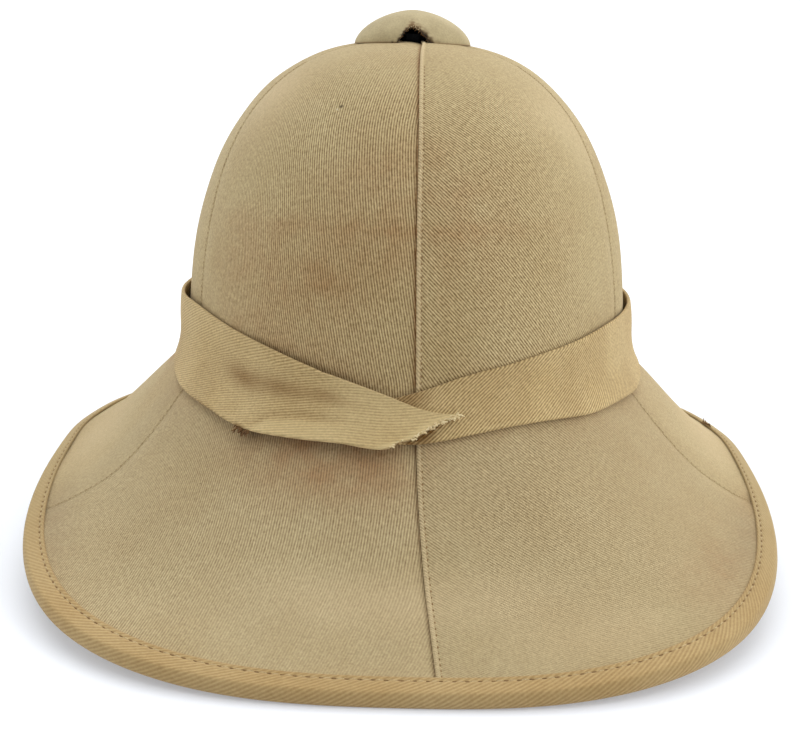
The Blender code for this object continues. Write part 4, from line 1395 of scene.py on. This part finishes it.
def even_places(azimuth, first, last, share):
    """Places a share of the way from first to last along the skin."""
    samples = 24
    steps = np.linspace(0.0, 1.0, samples + 1)
    places = first[..., None] + (last - first)[..., None] * steps
    points = skin(azimuth[..., None], places)
    travelled = np.concatenate([
        np.zeros(points.shape[:-2] + (1,)),
        np.cumsum(np.linalg.norm(np.diff(points, axis=-2), axis=-1), -1),
    ], -1)
    wanted = np.broadcast_to(share, azimuth.shape) * travelled[..., -1]
    index = np.clip(np.sum(travelled <= wanted[..., None], -1) - 1, 0, samples - 1)[..., None]
    low = np.take_along_axis(travelled, index, -1)
    high = np.take_along_axis(travelled, index + 1, -1)
    u = (wanted[..., None] - low) / (high - low)
    left = np.take_along_axis(places, index, -1)
    right = np.take_along_axis(places, index + 1, -1)
    return (left + (right - left) * u)[..., 0]


# --- Vent ------------------------------------------------------------------------------

CAP_RADIUS = 24.7
CAP_HEIGHT = 13.0
CAP_WALL = 2.0
CAP_POWER = 1.7              # how square the dome is: 2 is an ellipse
CAP_ARCH = (
    # across from the centre back, height of the arch's torn edge above the seat
    (-6.3, 0.0), (-5.6, 1.2), (-5.1, 1.9), (-4.5, 3.4), (-3.0, 5.1), (-1.6, 6.2), (0.0, 6.6),
    (1.9, 5.8), (3.5, 4.8), (5.1, 3.2), (6.3, 1.6), (7.1, 0.0),
)
CAP_TEAR = (
    # the torn edge's waves: their depth, how many in 2 pi mm, and where they start
    (0.22, 4.7, 1.0), (0.16, 9.1, 0.0), (0.1, 17.3, 0.0),
)


def crown_top_at(x, y):
    """Height of the crown's skin over a point in plan, in crown axes."""
    out = np.hypot(2 * x / CROWN_WIDTH, 2 * y / CROWN_LENGTH)
    return CROWN_HEIGHT * (1.0 - out ** CROWN_SIDE_POWER) ** (1.0 / CROWN_TOP_POWER)


def cap_surface(inset, turns, rows):
    """The dome's face, inset from its outside, with the torn arch left out at the back."""
    radius = CAP_RADIUS - inset
    angle = np.radians(turns)
    across = CAP_RADIUS * np.sin(angle)
    tear = sum(depth * np.sin(across * count + start) for depth, count, start in CAP_TEAR)
    arch = straight(CAP_ARCH, across)
    arch = np.where(np.cos(angle) > 0.0, np.maximum(0.0, arch + tear * np.minimum(arch, 1.0)), 0.0)
    x, y = radius * np.sin(angle), -radius * np.cos(angle)
    seat = crown_top_at(x, y) - CROWN_HEIGHT + GAP
    height = CAP_HEIGHT - inset - seat
    start = np.arcsin(np.minimum(1.0, (arch / height) ** (CAP_POWER / 2)))
    rise = start + (math.pi / 2 - start) * rows[:, None]
    out, up = np.cos(rise) ** (2 / CAP_POWER), np.sin(rise) ** (2 / CAP_POWER)
    return lean(np.stack([x * out, y * out, seat + height * up + CROWN_HEIGHT], -1))


def cap_marks(outer, rim):
    """Where the dome is scorched brown and black round the rim of its arch, and painted darker round its
    seat as shade.
    """
    away = np.min(np.linalg.norm(outer[:, :, None] - rim, axis=-1), -1)
    across = np.clip(outer[..., 0] / 4.0, -1.0, 1.0)
    top = 1.0 - np.abs(across)
    uneven = 1.0 + 0.5 * ripple(outer, wavelength=2.6, seed=5)
    tan_and_shade = 0.9 * falloff(away, uneven * (1.0 + 0.6 * across + 2.2 * top))
    # painted shade: a dark line round the dome's seat, under its rim
    seat = 0.7 * falloff(np.linalg.norm(outer - outer[:1], axis=-1), 0.5)
    soil_and_shade = falloff(away, uneven * (0.55 + 0.6 * np.maximum(across, 0.0))) * (1.0 - 0.45 * top)
    return {"tan_and_shade": np.clip(np.maximum(tan_and_shade, seat), 0, 1), "soil_and_shade": np.clip(soil_and_shade, 0, 1)}


def make_cap(cloth, dark, frays, yarns):
    """The ventilator's cloth-covered dome, torn and scorched brown round its arch."""
    turns = np.concatenate([np.linspace(-21.0, 21.0, 121), np.linspace(23.0, 337.0, 105)])
    rows = np.concatenate([np.linspace(0.0, 0.12, 9), np.linspace(0.15, 0.985, 34)])
    outer, inner = cap_surface(0.0, turns, rows), cap_surface(CAP_WALL, turns, rows)
    arch = np.abs(turns) < 20.0
    rim = outer[0, arch]
    marks = {label: amount[::-1] for label, amount in cap_marks(outer, rim).items()}
    # the dome's inside is black tin, painted shade for the dark within the vent
    piece = wall("vent_dome", outer[::-1], inner[::-1], [cloth, dark], True, marks=marks)
    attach(piece, "root")
    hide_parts("vent_cap")
    loose, rot_and_shadow = yarns
    high = np.abs(rim[:, 0] - 0.3) < 2.4
    upward = unit(outer[6, arch] - rim)
    inward = unit(np.array([0.0, 0.0, rim[:, 2].min()]) - rim * np.array([1.0, 0.0, 1.0]))
    fray(
        "arch_threads", frays, rim[high][::2], upward[high][::2], loose,
        seed=51, longest=1.5, width=0.16, spread=0.35,
    )
    fray(
        "arch_tufts", frays, rim[::3], inward[::3], rot_and_shadow,
        seed=52, longest=1.3, width=0.22, spread=0.8,
    )


# --- Scene -----------------------------------------------------------------------------

def make_camera():
    """The camera of the photograph: its place, its slight roll and its lens."""
    rise, turn, roll = (math.radians(v) for v in (CAMERA_ELEVATION, CAMERA_AZIMUTH, CAMERA_ROLL))
    back = Vector((-math.sin(turn) * math.cos(rise), -math.cos(turn) * math.cos(rise), math.sin(rise)))
    right = (-back).cross(Vector((0, 0, 1))).normalized()
    up = right.cross(-back)
    right, up = (
        right * math.cos(roll) + up * math.sin(roll), up * math.cos(roll) - right * math.sin(roll),
    )
    data = bpy.data.cameras.new("camera")
    data.lens, data.sensor_width = CAMERA_LENS, SENSOR_WIDTH
    data.clip_start, data.clip_end = 0.05, 200.0
    camera = bpy.data.objects.new("camera", data)
    place = (Vector(CAMERA_TARGET) + back * CAMERA_DISTANCE) * MM
    camera.matrix_world = Matrix.Translation(place) @ Matrix((right, up, back)).transposed().to_4x4()
    bpy.context.scene.collection.objects.link(camera)
    bpy.context.scene.camera = camera


def make_sun(name, origin, softness, strength):
    """A soft light from a direction, as a large white panel gives."""
    data = bpy.data.lights.new(name, "SUN")
    data.angle, data.energy = math.radians(softness), strength
    light = bpy.data.objects.new(name, data)
    light.rotation_euler = Vector(origin).to_track_quat("Z", "Y").to_euler()
    bpy.context.scene.collection.objects.link(light)


def make_studio():
    """A white table in a light tent that is brighter on the right and overhead."""
    world = bpy.data.worlds.new("studio")
    world.use_nodes = True
    bpy.context.scene.world = world
    background = world.node_tree.nodes["Background"]
    background.inputs["Color"].default_value = colour("#fbfdff")
    background.inputs["Strength"].default_value = WORLD_LIGHT
    floor = bpy.data.meshes.new("floor")
    reach = FLOOR_REACH
    corners = [(-reach, -reach, 0), (reach, -reach, 0), (reach, reach, 0), (-reach, reach, 0)]
    floor.from_pydata(corners, [], [(0, 1, 2, 3)])
    floor.materials.append(white_table())
    piece = bpy.data.objects.new("floor", floor)
    bpy.context.scene.collection.objects.link(piece)
    for sun in SUNS:
        make_sun(*sun)
    bpy.context.scene.view_settings.view_transform = "Standard"


def main():
    """Dresses the frame: camera and studio, the body, and each sheet of cloth with its stitches and loose
    threads.
    """
    make_camera()
    make_studio()
    tin, thread = shade_black_tin(), sewing_cotton()
    stitching, light_stitching = (thread, needle_hole_shade()), (thread, shallow_dent_shade())
    loose, rot_and_shadow = loose_cotton(), rot_and_shadow_yarn()
    make_body(moulded_cork(), drab_cotton())
    sewing, frays, drill = sewing_tree(), fray_tree(), khaki_drill()
    for number in range(len(GORES)):
        piece, cut, area, rows = make_gore(number, drill)
        stitches = [
            sew(
                f"stitches_{GORES[number][0]}_{side}", sewing, line, off, SEAM_SEWING,
                stitching if (number, side) == (0, "left") else light_stitching, 11 + number,
            )
            for side, line, off in rows
        ]
    piece, cut, rows, tuft = make_binding(bias_binding(), frays, rot_and_shadow)
    sewn_on = [
        sew(name, sewing, line, off, BINDING_SEWING, stitching, seed)
        for (line, off), name, seed in zip(rows, ("stitches_edge_top", "stitches_edge_under"), (31, 32))
    ]
    piece, cut, yarns = make_band(band_drill(), frays, (loose, rot_and_shadow))
    make_cap(fine_cotton(), tin, frays, (thread, rot_and_shadow))
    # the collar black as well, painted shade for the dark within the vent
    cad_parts["vent_collar"].data.materials[0] = tin


main()
